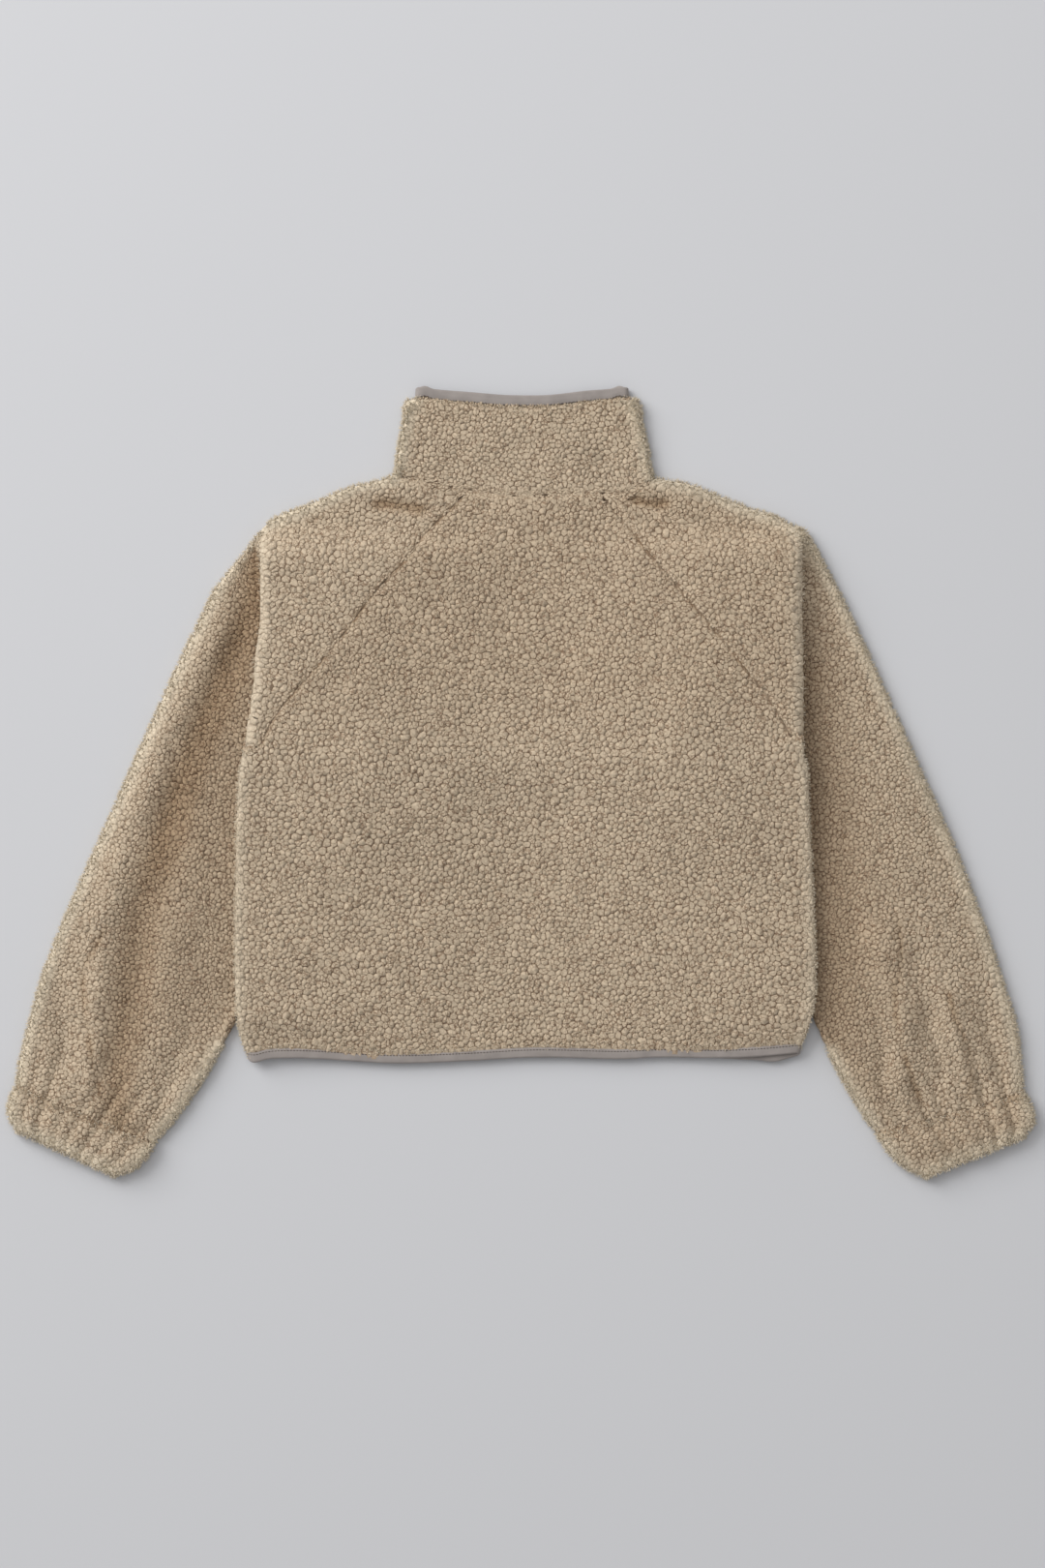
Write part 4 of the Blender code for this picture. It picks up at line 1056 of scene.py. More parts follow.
def sleeve_piece(side, seed):
    sign = SIDES[side]
    across, mid, up, kinds, drop, layout = sleeve_grid(side)
    rows = len(mid)
    fan_rows = sum(k == "fan" for k, _ in kinds)
    body_reach = (mid[..., 0] - edge(side, mid[..., 1])) * sign
    bell = np.sqrt(np.clip(4 * across * (1 - across), 0, 1))
    is_tube = np.array([k in ("join", "tube") for k, _ in kinds])[:, None]
    full = PUFF * ease((body_reach - 12) / 55.0) * bell * is_tube
    mid[..., 2] += full / 2
    reach_top = LAYER + full / 2 + WALL / 2 - 0.4
    reach_low = LAYER + full / 2 + WALL / 2 - 0.3
    # Creases on the upper side only.
    open_share = ease((body_reach - 3) / 14.0) * is_tube
    x, y = mid[..., 0], mid[..., 1]
    crease = relief(SLEEVE_RELIEF, x, y) * open_share * np.clip(bell * 1.6, 0, 1)
    # Beside the body's edge, which lies on it, the sleeve is pressed down.
    crease = crease - 3.2 * np.exp(-(np.maximum(body_reach, 0.0) / 32.0) ** 2) * is_tube * np.clip(bell * 2.0, 0, 1) * (1 - 0.5 * ease((y - 90) / 90.0))
    fan_mask = np.array([k == "fan" for k, _ in kinds])[:, None]
    seam_pts = first_section(side, False, np.linspace(0, 1, 60))
    near = distance_to([tuple(p) for p in seam_pts], x, y)
    crease = crease + relief(YOKE_RELIEF, x, y) * fan_mask * ease(near / 6.0)
    # Gathers: cloth drawn in by the cuff's elastic.
    tube_k = np.array([v if k == "tube" else 0.0 for k, v in kinds])[:, None]
    pull = ease((tube_k - 4.7) / 1.9)
    crease = crease + pull * gathers(side, across, tube_k - 7.0) * np.clip(bell * 1.4, 0, 1)
    crease = crease + 0.5 * noise2(x, y, 34, 23 + seed) * open_share
    for line in PARTINGS[side]:
        crease = crease - 1.3 * np.exp(-(distance_to(line, x, y) / 3.0) ** 2) * open_share
    # The end drawn into the cuff's seam dips.
    dip = 0.5 * ease((tube_k - 6.72) / 0.28)
    crease = crease - dip
    outer, out, flat, top_share = ring_of_tube(side, across, mid, up, reach_top + np.maximum(crease, -6.0), reach_low - dip * 0.3, drop, layout, fan_rows, WALL)
    columns = outer.shape[1]
    ENDS[side] = (outer[-1], out[-1], unit(outer[-1] - outer[-5]), top_share[-1])
    # The same columns' inner side.
    inner, _, _, _ = ring_of_tube(side, across, mid, up, reach_top + np.maximum(crease, -6.0) - 3.2, reach_low - dip * 0.3 - 3.2, drop, layout, fan_rows, WALL)
    px, py = outer[..., 0], outer[..., 1]
    high = spare(px, py) * (top_share > 0.5) * fan_mask * np.clip(out[..., 2], 0, 1)
    outer[..., 2] += high
    inner[..., 2] += high
    near = distance_to([tuple(p) for p in seam_pts], px, py) + 30.0 * (~fan_mask)
    dipped = (0.75 + 0.75 * noise2(px, py, 9, 61)) * (1 - ease(near / 5.0))
    outer = outer - out * dipped[..., None]
    n = normals_of(outer, out)
    reach_x = (px - edge(side, py)) * sign
    kind_name = np.array([k for k, _ in kinds])
    hidden = np.zeros((rows, columns))
    tube_rows = np.isin(kind_name, ("join", "tube"))[:, None]
    hidden = np.where(tube_rows, 1 - ease((reach_x + 16) / 6.0), hidden)
    hidden = np.where((kind_name == "turn1")[:, None], 1.0, hidden)
    hidden = np.where((kind_name == "turn2")[:, None], 1.0, hidden)
    # Near its top the pleat is still open, and all of it shows.
    opened = ease((py - (PLEAT_TOP[side] - OPENING - 14)) / 10.0)
    hidden = hidden * (1 - opened)
    under = 1 - top_share
    low_side = ease((under - 0.5) / 0.5)
    shown = (1 - hidden) * (1 - low_side)
    zero = len(ANGLES) // 2
    # Up to the side folds the underside is as fine as the top.
    n_c = len(across)
    idx = np.arange(columns)
    from_outer = np.abs(idx - (zero + 1 + n_c + len(ANGLES) / 2))
    near_fold = (idx > zero + 1 + n_c) & (from_outer < len(ANGLES) / 2 + 3) | (idx > columns - zero - 4)
    shown = np.where(near_fold[None, :], 1 - hidden * 0.999, shown)
    reach = CURL * shown + (1 - shown) * np.where(low_side > 0.5, CURL_UNDER, CURL_HIDDEN)
    reach = reach * (1 + 0.12 * noise2(px, py, 38, 7)) * (1 - 0.22 * (1 - ease(near / 9.0)) * fan_mask)
    reach = np.where(shown > 0.5, reach * (1 - 0.13 * is_tube), reach)
    pile = PILE * shown + (1 - shown) * np.where(low_side > 0.5, PILE_UNDER, PILE_HIDDEN)
    pile = pile * (1 - 0.5 * (1 - ease((near - 1.5) / 6.0)) * fan_mask)
    rim = rim_share(px, py)
    # Toward the garment's own outline the pile stands looser and its crevices close.
    pile = pile * (1 - 0.7 * rim)
    pile = np.where(near_fold[None, :], np.minimum(pile, 1.8), pile)
    # Painted highlight: the pile is lightened along the outline and along the body's own folded edge over the yoke.
    edge_rim = np.clip(1 - np.abs(reach_x) / 15.0, 0, 1) * (np.isin(kind_name, ("fan", "turn0"))[:, None]) * (py < PLEAT_TOP[side] + 5)
    # Painted shade: along the left sleeve's valley and on toward the body's edge, and in the wedge beside the body's
    # edge on the right, the pile's colour is darkened where shadow falls.
    if side == "left":
        valley_y = np.array((-330.0, -300.0, -137.0, 7.0, 165.0, 235.0))
        valley_x = np.interp(py, valley_y, (-372.0, -376.0, -359.0, -314.0, -250.0, -240.0))
        off = px - valley_x
        roots = 0.80 * np.exp(-((off / 18.0) ** 2)) + 0.34 * ease((off - 4) / 14.0) * ease((py + 290) / 90.0)
    else:
        roots = 0.56 * np.exp(-((np.maximum(reach_x, 0.0) / (34.0 + 30.0 * ease((150 - py) / 280.0))) ** 2))
    roots = np.clip(roots, 0, 1) * tube_rows * ease((top_share - 0.2) / 0.6) * (1 - rim)
    if side == "left":
        roots = roots * (1 - 0.25 * ease((-60 - py) / 60.0))
    else:
        roots = roots * (1 - 0.75 * ease((py - 90) / 90.0))
    # Painted shade in the yoke's two creases below the neck.
    creased = relief(YOKE_RELIEF[:2], px, py) * fan_mask * (top_share > 0.5)
    roots = np.maximum(roots, np.clip(-creased / 3.4, 0, 0.75))
    # Painted shade along the partings beside the gathers' ridges.
    for line in PARTINGS[side]:
        painted_shade_and_seam_dark = np.clip(noise2(px, py, 14, 91) * 0.6 + 0.72, 0.2, 1) * np.exp(-(distance_to(line, px, py) / 2.4) ** 2)
        roots = np.maximum(roots, 0.85 * painted_shade_and_seam_dark * tube_rows * (top_share > 0.5))
    groove = 0.10 + 0.42 * np.clip(noise2(px, py, 15, 77) + 0.45, 0, 1)
    roots = np.maximum(roots, groove * (1 - ease(near / 3.6)) * fan_mask)
    # Painted shade over the right yoke, less toward its rim and the body's edge.
    if side == "right":
        roots = np.maximum(roots, 0.13 * fan_mask * (1 - rim) * (1 - np.clip(edge_rim * 1.8, 0, 1)) * (top_share > 0.5))
    tint = np.stack([np.maximum(rim, edge_rim * 0.45), roots, 0 * rim], axis=-1)
    sink = np.full(px.shape, 0.05)
    return plush("sleeve_%s_plush" % side, outer, n, flat, inner, reach, pile, sink, tint, (3.0, 3.0), seed, floor=0.05, hair=9000)


# ---- cuffs ----------------------------------------------------------------------------------------
def cuff_piece(side, seed):
    sign = SIDES[side]
    table = CUFF_LEFT if side == "left" else CUFF_RIGHT
    across = np.linspace(0, 1, 60)
    mids, ups, layout, tall = [], [], [], []
    heights = {"h": CUFF_HEIGHT}
    ks = np.linspace(0, 3, 16)
    for k in ks:
        o = np.array([smooth_table(table, "outer_x", np.array([k]))[0], smooth_table(table, "outer_y", np.array([k]))[0]])
        i = np.array([smooth_table(table, "inner_x", np.array([k]))[0], smooth_table(table, "inner_y", np.array([k]))[0]])
        high = smooth_table(heights, "h", np.array([k]))[0]
        run = unit(i - o)
        down = np.array((run[1], -run[0])) * (1 if side == "left" else -1)
        # The corners of its end are round.
        a, b = o + run * (high / 2 + 3.0 * max(k - 1.6, 0) ** 2 / 1.96), i - run * (high / 2 + 7.0 * max(k - 1.2, 0) ** 2 / 3.24)
        flat2 = a + (b - a) * across[:, None] + down * (SEAM - 1.1 * (k == 0))
        mids.append(np.concatenate([flat2, np.full((len(across), 1), high / 2)], axis=1))
        ups.append(np.tile((0.0, 0.0, 1.0), (len(across), 1)))
        layout.append(flat2)
        tall.append(high / 2)
    mid, up, layout, tall = np.array(mids), np.array(ups), np.array(layout), np.array(tall)[:, None]
    bell = np.clip(np.sqrt(np.clip(4 * across * (1 - across), 0, 1)) * 1.3, 0, 1)
    v = (ks / 3)[:, None]
    # Tucks of the elastic's casing.
    tuck = gathers(side, across, v)
    top = tall - 0.1 + tuck * bell * (1 - 0.35 * ease((v - 0.7) / 0.3)) - 0.4 * (1 - ease(v / 0.14))
    low = tall - 0.3 + 0 * top
    drop = np.zeros((len(ks), len(across), 2))
    outer, out, flat, top_share = ring_of_tube(side, across, mid, up, top, low, drop, layout, 0, WALL)
    inner, _, _, _ = ring_of_tube(side, across, mid, up, top - 3.2, low - 3.2, drop, layout, 0, WALL)
    # The end turns in over the elastic: its last rows run down to the opening.
    end_rows = 5
    extra_o, extra_w, extra_f, extra_i = [], [], [], []
    for a in np.radians(np.linspace(0, 90, end_rows + 1))[1:]:
        radius = 2.1
        direction = unit(np.append(layout[-1].mean(0) - layout[-2].mean(0), 0.0))
        extra_o.append(outer[-1] - out[-1] * radius * (1 - math.cos(a)) + direction * radius * math.sin(a))
        extra_w.append(unit(out[-1] * math.cos(a) + direction * math.sin(a)))
        extra_f.append(flat[-1] + (layout[-1].mean(0) - layout[-2].mean(0)) / np.linalg.norm(layout[-1].mean(0) - layout[-2].mean(0)) * radius * a)
        extra_i.append(inner[-1] - out[-1] * 0.0 + direction * 0.2 * math.sin(a))
    outer = np.concatenate([outer, extra_o])
    out = np.concatenate([out, extra_w])
    flat = np.concatenate([flat, extra_f])
    inner = np.concatenate([inner, extra_i])
    top_share = np.concatenate([top_share, np.repeat(top_share[-1:], end_rows, axis=0)])
    n = normals_of(outer, out)
    low_side = ease(((1 - top_share) - 0.5) / 0.5)
    rows, columns = low_side.shape
    idx = np.arange(columns)
    zero = len(ANGLES) // 2
    near_fold = (idx > zero + 1 + len(across)) & (idx < zero + 1 + len(across) + len(ANGLES) + 3) | (idx > columns - zero - 4)
    low_side = np.where(near_fold[None, :] | (np.arange(rows) > rows - end_rows - 2)[:, None], 0.0, low_side)
    px, py = outer[..., 0], outer[..., 1]
    reach = CURL * 0.86 * (1 - low_side) + 8.0 * low_side
    pile = PILE * 0.8 * (1 - low_side) + PILE_UNDER * low_side
    seam = 1 - ease(np.concatenate([v[:, 0], np.ones(end_rows)])[:, None] / 0.2) + 0 * px
    fringe = 0.12 * np.exp(-((np.concatenate([v[:, 0], np.ones(end_rows)])[:, None] / 0.1) ** 2)) * (1 - low_side) + 0 * seam
    # Darker in a broken band along the seam with the sleeve, and painted shade over the whole right cuff. The rim share
    # is a painted highlight along the outline.
    painted_shade_and_seam_dark = np.clip(0.55 + 0.8 * noise2(px, py, 13, 83), 0.1, 1) * seam + (0.24 if side == "right" else 0.0)
    tint = np.stack([rim_share(px, py) * 0.9, 0.5 * painted_shade_and_seam_dark, fringe], axis=-1)
    return plush("cuff_%s_plush" % side, outer, n, flat, inner, reach, pile, np.full(px.shape, 0.05), tint, (3.0, 3.0), seed, floor=0.05, hair=2600)


# ---- collar ------------------------------------------------------------------------------------------
def neck_places():
    """The base x at each side of the neck, where the collar turns round its side fold."""
    out = {}
    for side, sign in SIDES.items():
        start = float(along(COLLAR_SIDE, side, 0.0, key="v") - sign * HALF)
        out[side] = start
    return out


def collar_piece(seed):
    base = neck_places()
    n_half, n_over = 30, 60
    chain = []
    close = FRONT_GAP / 2
    for t in np.linspace(0, 1, n_half):
        chain.append(("under", "left", (CENTRE - close) + (base["left"] - CENTRE + close) * t, 0.0))
    for a in np.radians((-72, -54, -36, -18, 0, 18, 36, 54, 72)):
        chain.append(("fold", "left", base["left"], a))
    for t in np.linspace(0, 1, n_over):
        chain.append(("over", "left" if t < 0.5 else "right", base["left"] + (base["right"] - base["left"]) * t, 0.0))
    for a in np.radians((72, 54, 36, 18, 0, -18, -36, -54, -72)):
        chain.append(("fold", "right", base["right"], a))
    for t in np.linspace(0, 1, n_half):
        chain.append(("under", "right", base["right"] + (CENTRE + close - base["right"]) * t, 0.0))
    shares = [(s, 0.0) for s in np.linspace(0, 1, 26)[:-1]] + [(1.0, -1.9), (1.0, -0.6), (1.0, 0.8), (1.0, 6.4)]
    outer, out, inner, flat, lips, tops = [], [], [], [], [], []
    for share, more in shares:
        row, ways, ins, row_flat = [], [], [], []
        lip = 1.0 if share == 1.0 and more > -0.7 else 0.0
        for kind, side, x_low, angle in chain:
            sign = SIDES[side]
            fold = float(along(COLLAR_SIDE, side, share, key="v")) - sign * HALF
            # The plush swells beside the tape's end, and the cloth inside the tape is set in.
            fold = fold + sign * (3.8 * float(ease((share - 0.7) / 0.25)) * (1 - lip) - 2.8 * lip)
            x = CENTRE + (x_low - CENTRE) * (fold - CENTRE) / (base[side] - CENTRE)
            if kind == "under" and abs(x_low - CENTRE) < 0.8:
                x = CENTRE + sign * close
            front = kind == "under"
            low = float(along(COLLAR_SEAM, "y", x_low, key="x")) + SEAM / 2 + 0.2
            high = float(along(COLLAR_TOP, "y", x, key="x"))
            y = low + (high - low) * share + more - (float(front_drop(x_low)) if front else 0.0)
            if kind == "under":
                way, unroll = np.array((0, 0, -1.0)), fold + sign * (HALF * math.pi + abs(x - fold))
            elif kind == "over":
                way, unroll = np.array((0, 0, 1.0)), x
            else:
                way = np.array((sign * math.cos(angle), 0, math.sin(angle)))
                unroll = fold + sign * HALF * (math.pi / 2 - angle)
            half_out = LIP / 2 if lip else WALL / 2
            centre = np.array((x, y, HALF))
            row.append(centre + way * (LAYER + half_out - 0.35))
            ins.append(centre + way * (LAYER - half_out + 0.1))
            ways.append(way)
            row_flat.append((unroll, y))
        outer.append(row)
        out.append(ways)
        inner.append(ins)
        flat.append(row_flat)
        lips.append(lip)
        tops.append(share if more <= -1.8 else 1.0 + more / 90)
    outer, out, inner, flat = map(np.array, (outer, out, inner, flat))
    lips = np.array(lips)[:, None] + 0 * outer[..., 0]
    v = np.array([s for s, _ in shares])[:, None] + 0 * lips
    is_over = np.array([k != "under" for k, *_ in chain])[None, :] + 0 * v
    from_seam = v * 85.0
    outer = outer - out * ((0.75 + 0.75 * noise2(outer[..., 0], outer[..., 1], 9, 61)) * (1 - ease(from_seam / 5.0)))[..., None]
    top_in = 1 - ease((1 - v) * 85 / 4.0)
    # A stand collar laid flat: two soft dents, and ripples below its tape.
    x, y = outer[..., 0], outer[..., 1]
    shape = relief((
        {"x0": -80, "y0": 300, "x1": -10, "y1": 290, "width": 12, "height": -1.2},
        {"x0": 30, "y0": 296, "x1": 95, "y1": 306, "width": 12, "height": -1.2},
        {"x0": -40, "y0": 330, "x1": 50, "y1": 326, "width": 10, "height": 0.8},
    ), x, y) + 0.4 * noise2(x, y, 30, 77)
    outer[..., 2] += shape * np.clip(out[..., 2], 0, 1) * (1 - lips) * ease(from_seam / 12) * (1 - top_in)
    n = normals_of(outer, out)
    low_side = 1 - is_over
    reach = CURL * 0.9 * (1 - low_side) + CURL_UNDER * low_side
    reach = np.where(lips > 0.5, 9.0, reach) * (1 - 0.2 * (1 - ease(from_seam / 9.0)))
    pile = (PILE * (1 - low_side) + PILE_UNDER * low_side) * (1 - lips) * (1 - 0.5 * (1 - ease((from_seam - 1.5) / 6.0))) * (1 - 0.7 * rim_share(x, y) * is_over)
    fringe = 0.2 * np.exp(-(((1 - v) * 85 - 1.5) / 1.8) ** 2) * (lips < 0.5) * is_over
    # The rim share is a painted highlight along the collar's outline; the second share darkens the line of its seam.
    tint = np.stack([rim_share(x, y) * is_over, 0.12 * (1 - ease(from_seam / 4.0)), fringe], axis=-1)
    return plush("collar_plush", outer, n, flat, inner, reach, pile, np.where(v > 0.97, 0.5, 0.05), tint, (3.0, 3.0), seed, floor=0.05, hair=3600)


# ---- binding tape ---------------------------------------------------------------------------------------
def tape_points(along_points, away, ways, ripple_seed, thick=TAPE):
    """A tape folded over an edge, as a closed grid: along_points is the lip's end, away leads out of
    the cloth, ways face out of it on the side that the tape's first leg lies on."""
    reach = (LIP + TAPE) / 2 + SEAM
    profile = [(-TAPE_LEG + 0.0, 1.0, 90.0), (-TAPE_LEG + 0.5, 1.0, 90.0)]
    for t in np.linspace(-TAPE_LEG + 2.0, -1.0, 4):
        profile.append((t, 1.0, 90.0))
    for a in np.linspace(90, -90, 11):
        profile.append((0.3, None, a))
    for t in np.linspace(-1.0, -TAPE_LEG + 2.0, 4):
        profile.append((t, -1.0, -90.0))
    profile += [(-TAPE_LEG + 0.5, -1.0, -90.0), (-TAPE_LEG, -1.0, -90.0)]
    middle, out = [], []
    count = len(along_points)
    s = np.concatenate([[0], np.cumsum(np.linalg.norm(np.diff(along_points, axis=0), axis=1))])
    for t, b, angle in profile:
        a = math.radians(angle)
        c, d = math.cos(a), math.sin(a)
        side = d if b is None else b
        # Soft ripples where the tape is drawn in by its stitches.
        wave = 0.22 * noise2(s, np.full(count, angle * 0.02), 9, ripple_seed) + 0.30 * noise2(s, np.zeros(count), 27, ripple_seed + 1)
        puff = 0.35 * math.exp(-((t + 3.2) / 2.4) ** 2) if b is not None else 0.1
        edge_in = -0.35 * math.exp(-((t + TAPE_LEG) / 0.8) ** 2)
        r = reach + wave * (0.8 if b is not None else 0.5) + puff + edge_in
        middle.append(along_points + away * (t + (r * c)[:, None]) + ways * (r * side)[:, None])
        out.append(away * c + ways * d)
    return np.array(middle), np.array(out), s


def grid_shell(name, middle, out, thick, data_tone=None):
    rows, columns = middle.shape[:2]
    o, i = middle + out * thick / 2, middle - out * thick / 2
    points = np.concatenate([o.reshape(-1, 3), i.reshape(-1, 3)])
    n = rows * columns
    ids = np.arange(n).reshape(rows, columns)
    a = np.stack([ids[:-1, :-1], ids[:-1, 1:], ids[1:, 1:], ids[1:, :-1]], axis=-1).reshape(-1, 4)
    b = a[:, ::-1] + n
    def strip(line):
        line = np.asarray(line)
        return np.stack([line[1:], line[:-1], line[:-1] + n, line[1:] + n], axis=1)
    faces = np.concatenate([a, b, strip(ids[0]), strip(ids[-1][::-1]), strip(ids[:, -1]), strip(ids[:, 0][::-1])])
    tri_normal = np.cross(points[a[:, 1]] - points[a[:, 0]], points[a[:, 2]] - points[a[:, 0]])
    if np.sum(tri_normal * out.reshape(-1, 3)[a[:, 0]]) < 0:
        faces = faces[:, ::-1]
    return make(name, points, faces)


def hem_tape():
    lines, away, ways = [], [], []

    def panel_line(xs, ys_front, facing):
        mid, way = roll_surface(xs, ys_front, facing)
        return mid + way * LAYER, way

    parts = []
    # Left front from its centre edge to the side, round to the back, and on to the right front.
    unroll_l = np.linspace(CENTRE - FRONT_GAP / 2, edge("left", -256.0) - (ROLL - HALF), 75)
    parts.append((unroll_l, True))
    unroll_b = np.linspace(edge("left", -256.0) - (ROLL - HALF), edge("right", -254.0) + (ROLL - HALF), 160)
    parts.append((unroll_b, False))
    unroll_r = np.linspace(edge("right", -254.0) + (ROLL - HALF), CENTRE + FRONT_GAP / 2, 75)
    parts.append((unroll_r, True))
    pts, outs, ups = [], [], []
    for xs, front in parts:
        base = hem_y(np.clip(xs, -258, 262), front)
        facing = -1.0 if front else 1.0
        base = base - (3.6 * np.exp(-(((xs - 236.0) / 12.0) ** 2)) if front else 3.4 * np.exp(-(((xs + 248.0) / 6.0) ** 2)))
        low, way = panel_line(xs, base - 6.6, facing)
        high, _ = panel_line(xs, base + 0.9, facing)
        pts.append(low)
        outs.append(unit(low - high))
        ups.append(way)
    line, away, ways = np.concatenate(pts), np.concatenate(outs), np.concatenate(ups)
    # The two runs meet at each side fold.
    keep = np.concatenate([[True], np.linalg.norm(np.diff(line, axis=0), axis=1) > 0.3])
    line, away, ways = line[keep], away[keep], ways[keep]
    for _ in range(3):
        line[1:-1] = (line[:-2] + 2 * line[1:-1] + line[2:]) / 4
        ways[1:-1] = unit(ways[:-2] + 2 * ways[1:-1] + ways[2:])
        away[1:-1] = unit(away[:-2] + 2 * away[1:-1] + away[2:])
    middle, out, s = tape_points(line, away, ways, 301)
    middle[..., 2] = np.maximum(middle[..., 2], TAPE / 2 + 0.05)
    return grid_shell("hem_tape", middle, out, TAPE), middle, out


def collar_tape():
    base = neck_places()
    close = FRONT_GAP / 2
    pts, outs, ups = [], [], []
    fold = {s: float(along(COLLAR_SIDE, s, 1.0, key="v")) - SIDES[s] * (HALF + 2.8) for s in SIDES}

    def y_top(x, x_low, front):
        # Where it turns round a side the tape stands up a little.
        up = sum(2.4 * math.exp(-(((x - fold[s]) * SIDES[s] + 4.5) / 5.0) ** 2) for s in SIDES)
        if not front:
            up += 1.6 * math.exp(-((x / 62.0) ** 2))
        return float(along(COLLAR_TOP, "y", x, key="x")) - (float(front_drop(x_low)) if front else 0.0) + up

    def add(x, y, way):
        pts.append(np.array((x, y + 6.6, HALF)) + way * LAYER)
        outs.append(np.array((0, 1.0, 0)))
        ups.append(way)

    def low_of(x, side):
        return CENTRE + (x - CENTRE) * (base[side] - CENTRE) / (fold[side] - CENTRE)

    for x in np.linspace(CENTRE - close, fold["left"], 40):
        add(x, y_top(x, low_of(x, "left"), True), np.array((0, 0, -1.0)))
    y_l_u, y_l_o = pts[-1][1], y_top(fold["left"], base["left"], False) + 6.6
    for a in np.radians((-60, -30, 0, 30, 60)):
        t = (math.sin(a) + 1) / 2
        way = np.array((-math.cos(a), 0, math.sin(a)))
        add(fold["left"], y_l_u * (1 - t) + y_l_o * t - 6.6, way)
    for x in np.linspace(fold["left"], fold["right"], 90):
        add(x, y_top(x, 0, False), np.array((0, 0, 1.0)))
    y_r_o = pts[-1][1]
    y_r_u = y_top(fold["right"], base["right"], True) + 6.6
    for a in np.radians((60, 30, 0, -30, -60)):
        t = (math.sin(a) + 1) / 2
        way = np.array((math.cos(a), 0, math.sin(a)))
        add(fold["right"], y_r_u * (1 - t) + y_r_o * t - 6.6, way)
    for x in np.linspace(fold["right"], CENTRE + close, 40):
        add(x, y_top(x, low_of(x, "right"), True), np.array((0, 0, -1.0)))
    line, away, ways = np.array(pts), np.array(outs), np.array(ups)
    for _ in range(2):
        ways[1:-1] = unit(ways[:-2] + 2 * ways[1:-1] + ways[2:])
    middle, out, s = tape_points(line, away, ways, 401)
    middle[..., 2] = np.maximum(middle[..., 2], TAPE / 2 + 0.05)
    return grid_shell("collar_tape", middle, out, TAPE), middle, out


# ---- stitches -----------------------------------------------------------------------------------------------
def stitches(name, row, out, spacing, length, radius, lo, hi):
    """Short sunk stitches along a row of a tape."""
    s = np.concatenate([[0], np.cumsum(np.linalg.norm(np.diff(row, axis=0), axis=1))])
    places = np.arange(lo * s[-1], hi * s[-1], spacing)
    pts, faces = [], []
    rng = np.random.default_rng(88)
    for p in places:
        a = np.array([np.interp(p - length / 2, s, row[:, k]) for k in range(3)])
        b = np.array([np.interp(p + length / 2, s, row[:, k]) for k in range(3)])
        n = unit(np.array([np.interp(p, s, out[:, k]) for k in range(3)]))
        t = unit(b - a)
        u = np.cross(n, t)
        base = len(pts)
        for i, f in enumerate((0.0, 0.18, 0.5, 0.82, 1.0)):
            c = a + (b - a) * f + n * (0.10 * math.sin(f * math.pi) - 0.05)
            r = radius * (0.35, 0.9, 1.0, 0.9, 0.35)[i]
            for k in range(6):
                g = k * math.tau / 6
                pts.append(c + (u * math.cos(g) + n * math.sin(g)) * r)
        for i in range(4):
            for k in range(6):
                q = base + i * 6
                faces.append((q + k, q + (k + 1) % 6, q + 6 + (k + 1) % 6, q + 6 + k))
        for ring, way in ((base, 1), (base + 24, -1)):
            for k in (1, 2, 3, 4):
                f = [ring, ring + k, ring + k + 1]
                faces.append((*(f if way < 0 else f[::-1]), f[0] if way < 0 else f[::-1][0]))
    quads = [f for f in faces if len(set(f)) == 4]
    tris = [tuple(dict.fromkeys(f)) for f in faces if len(set(f)) == 3]
    all_tris = [(f[0], f[1], f[2]) for f in quads] + [(f[0], f[2], f[3]) for f in quads] + tris
    return make(name, np.array(pts), np.array(all_tris))


# ---- loose fibres ---------------------------------------------------------------------------------------------
def fuzz(name, seed, longer=1.0):
    """Short bent fibres, thin to a point, on a piece's rim."""
    rng = np.random.default_rng(seed)
    roots, ways = HAIR[name + "_plush"]
    n = len(roots)
    way = unit(ways + rng.normal(0, 0.45, (n, 3)))
    size = rng.uniform(2.4, 5.4, n)[:, None] * longer
    tip_way = unit(way + rng.normal(0, 0.5, (n, 3)) - (0, 0, 0.25))
    middle = roots + way * size * 0.55
    tip = middle + tip_way * size * 0.45
    u = unit(np.cross(way, (0.3, 0.5, 0.81)))
    v = np.cross(way, u)
    thick = rng.uniform(0.20, 0.42, n)[:, None]
    points = []
    for centre, r in ((roots - way * 0.4, 1.0), (middle, 0.75)):
        for k in range(3):
            a = k * math.tau / 3
            points.append(centre + (u * math.cos(a) + v * math.sin(a)) * thick * r)
    points.append(tip)
    points = np.stack(points, axis=1)
    points[..., 2] = np.maximum(points[..., 2], 0.05)
    one = [(0, 2, 1)]
    for k in range(3):
        m = (k + 1) % 3
        one += [(k, m, 3 + m), (k, 3 + m, 3 + k), (3 + k, 3 + m, 6)]
    faces = (np.array(one)[None] + np.arange(n)[:, None, None] * 7).reshape(-1, 3)
    return make(name + "_fuzz", points.reshape(-1, 3), faces)


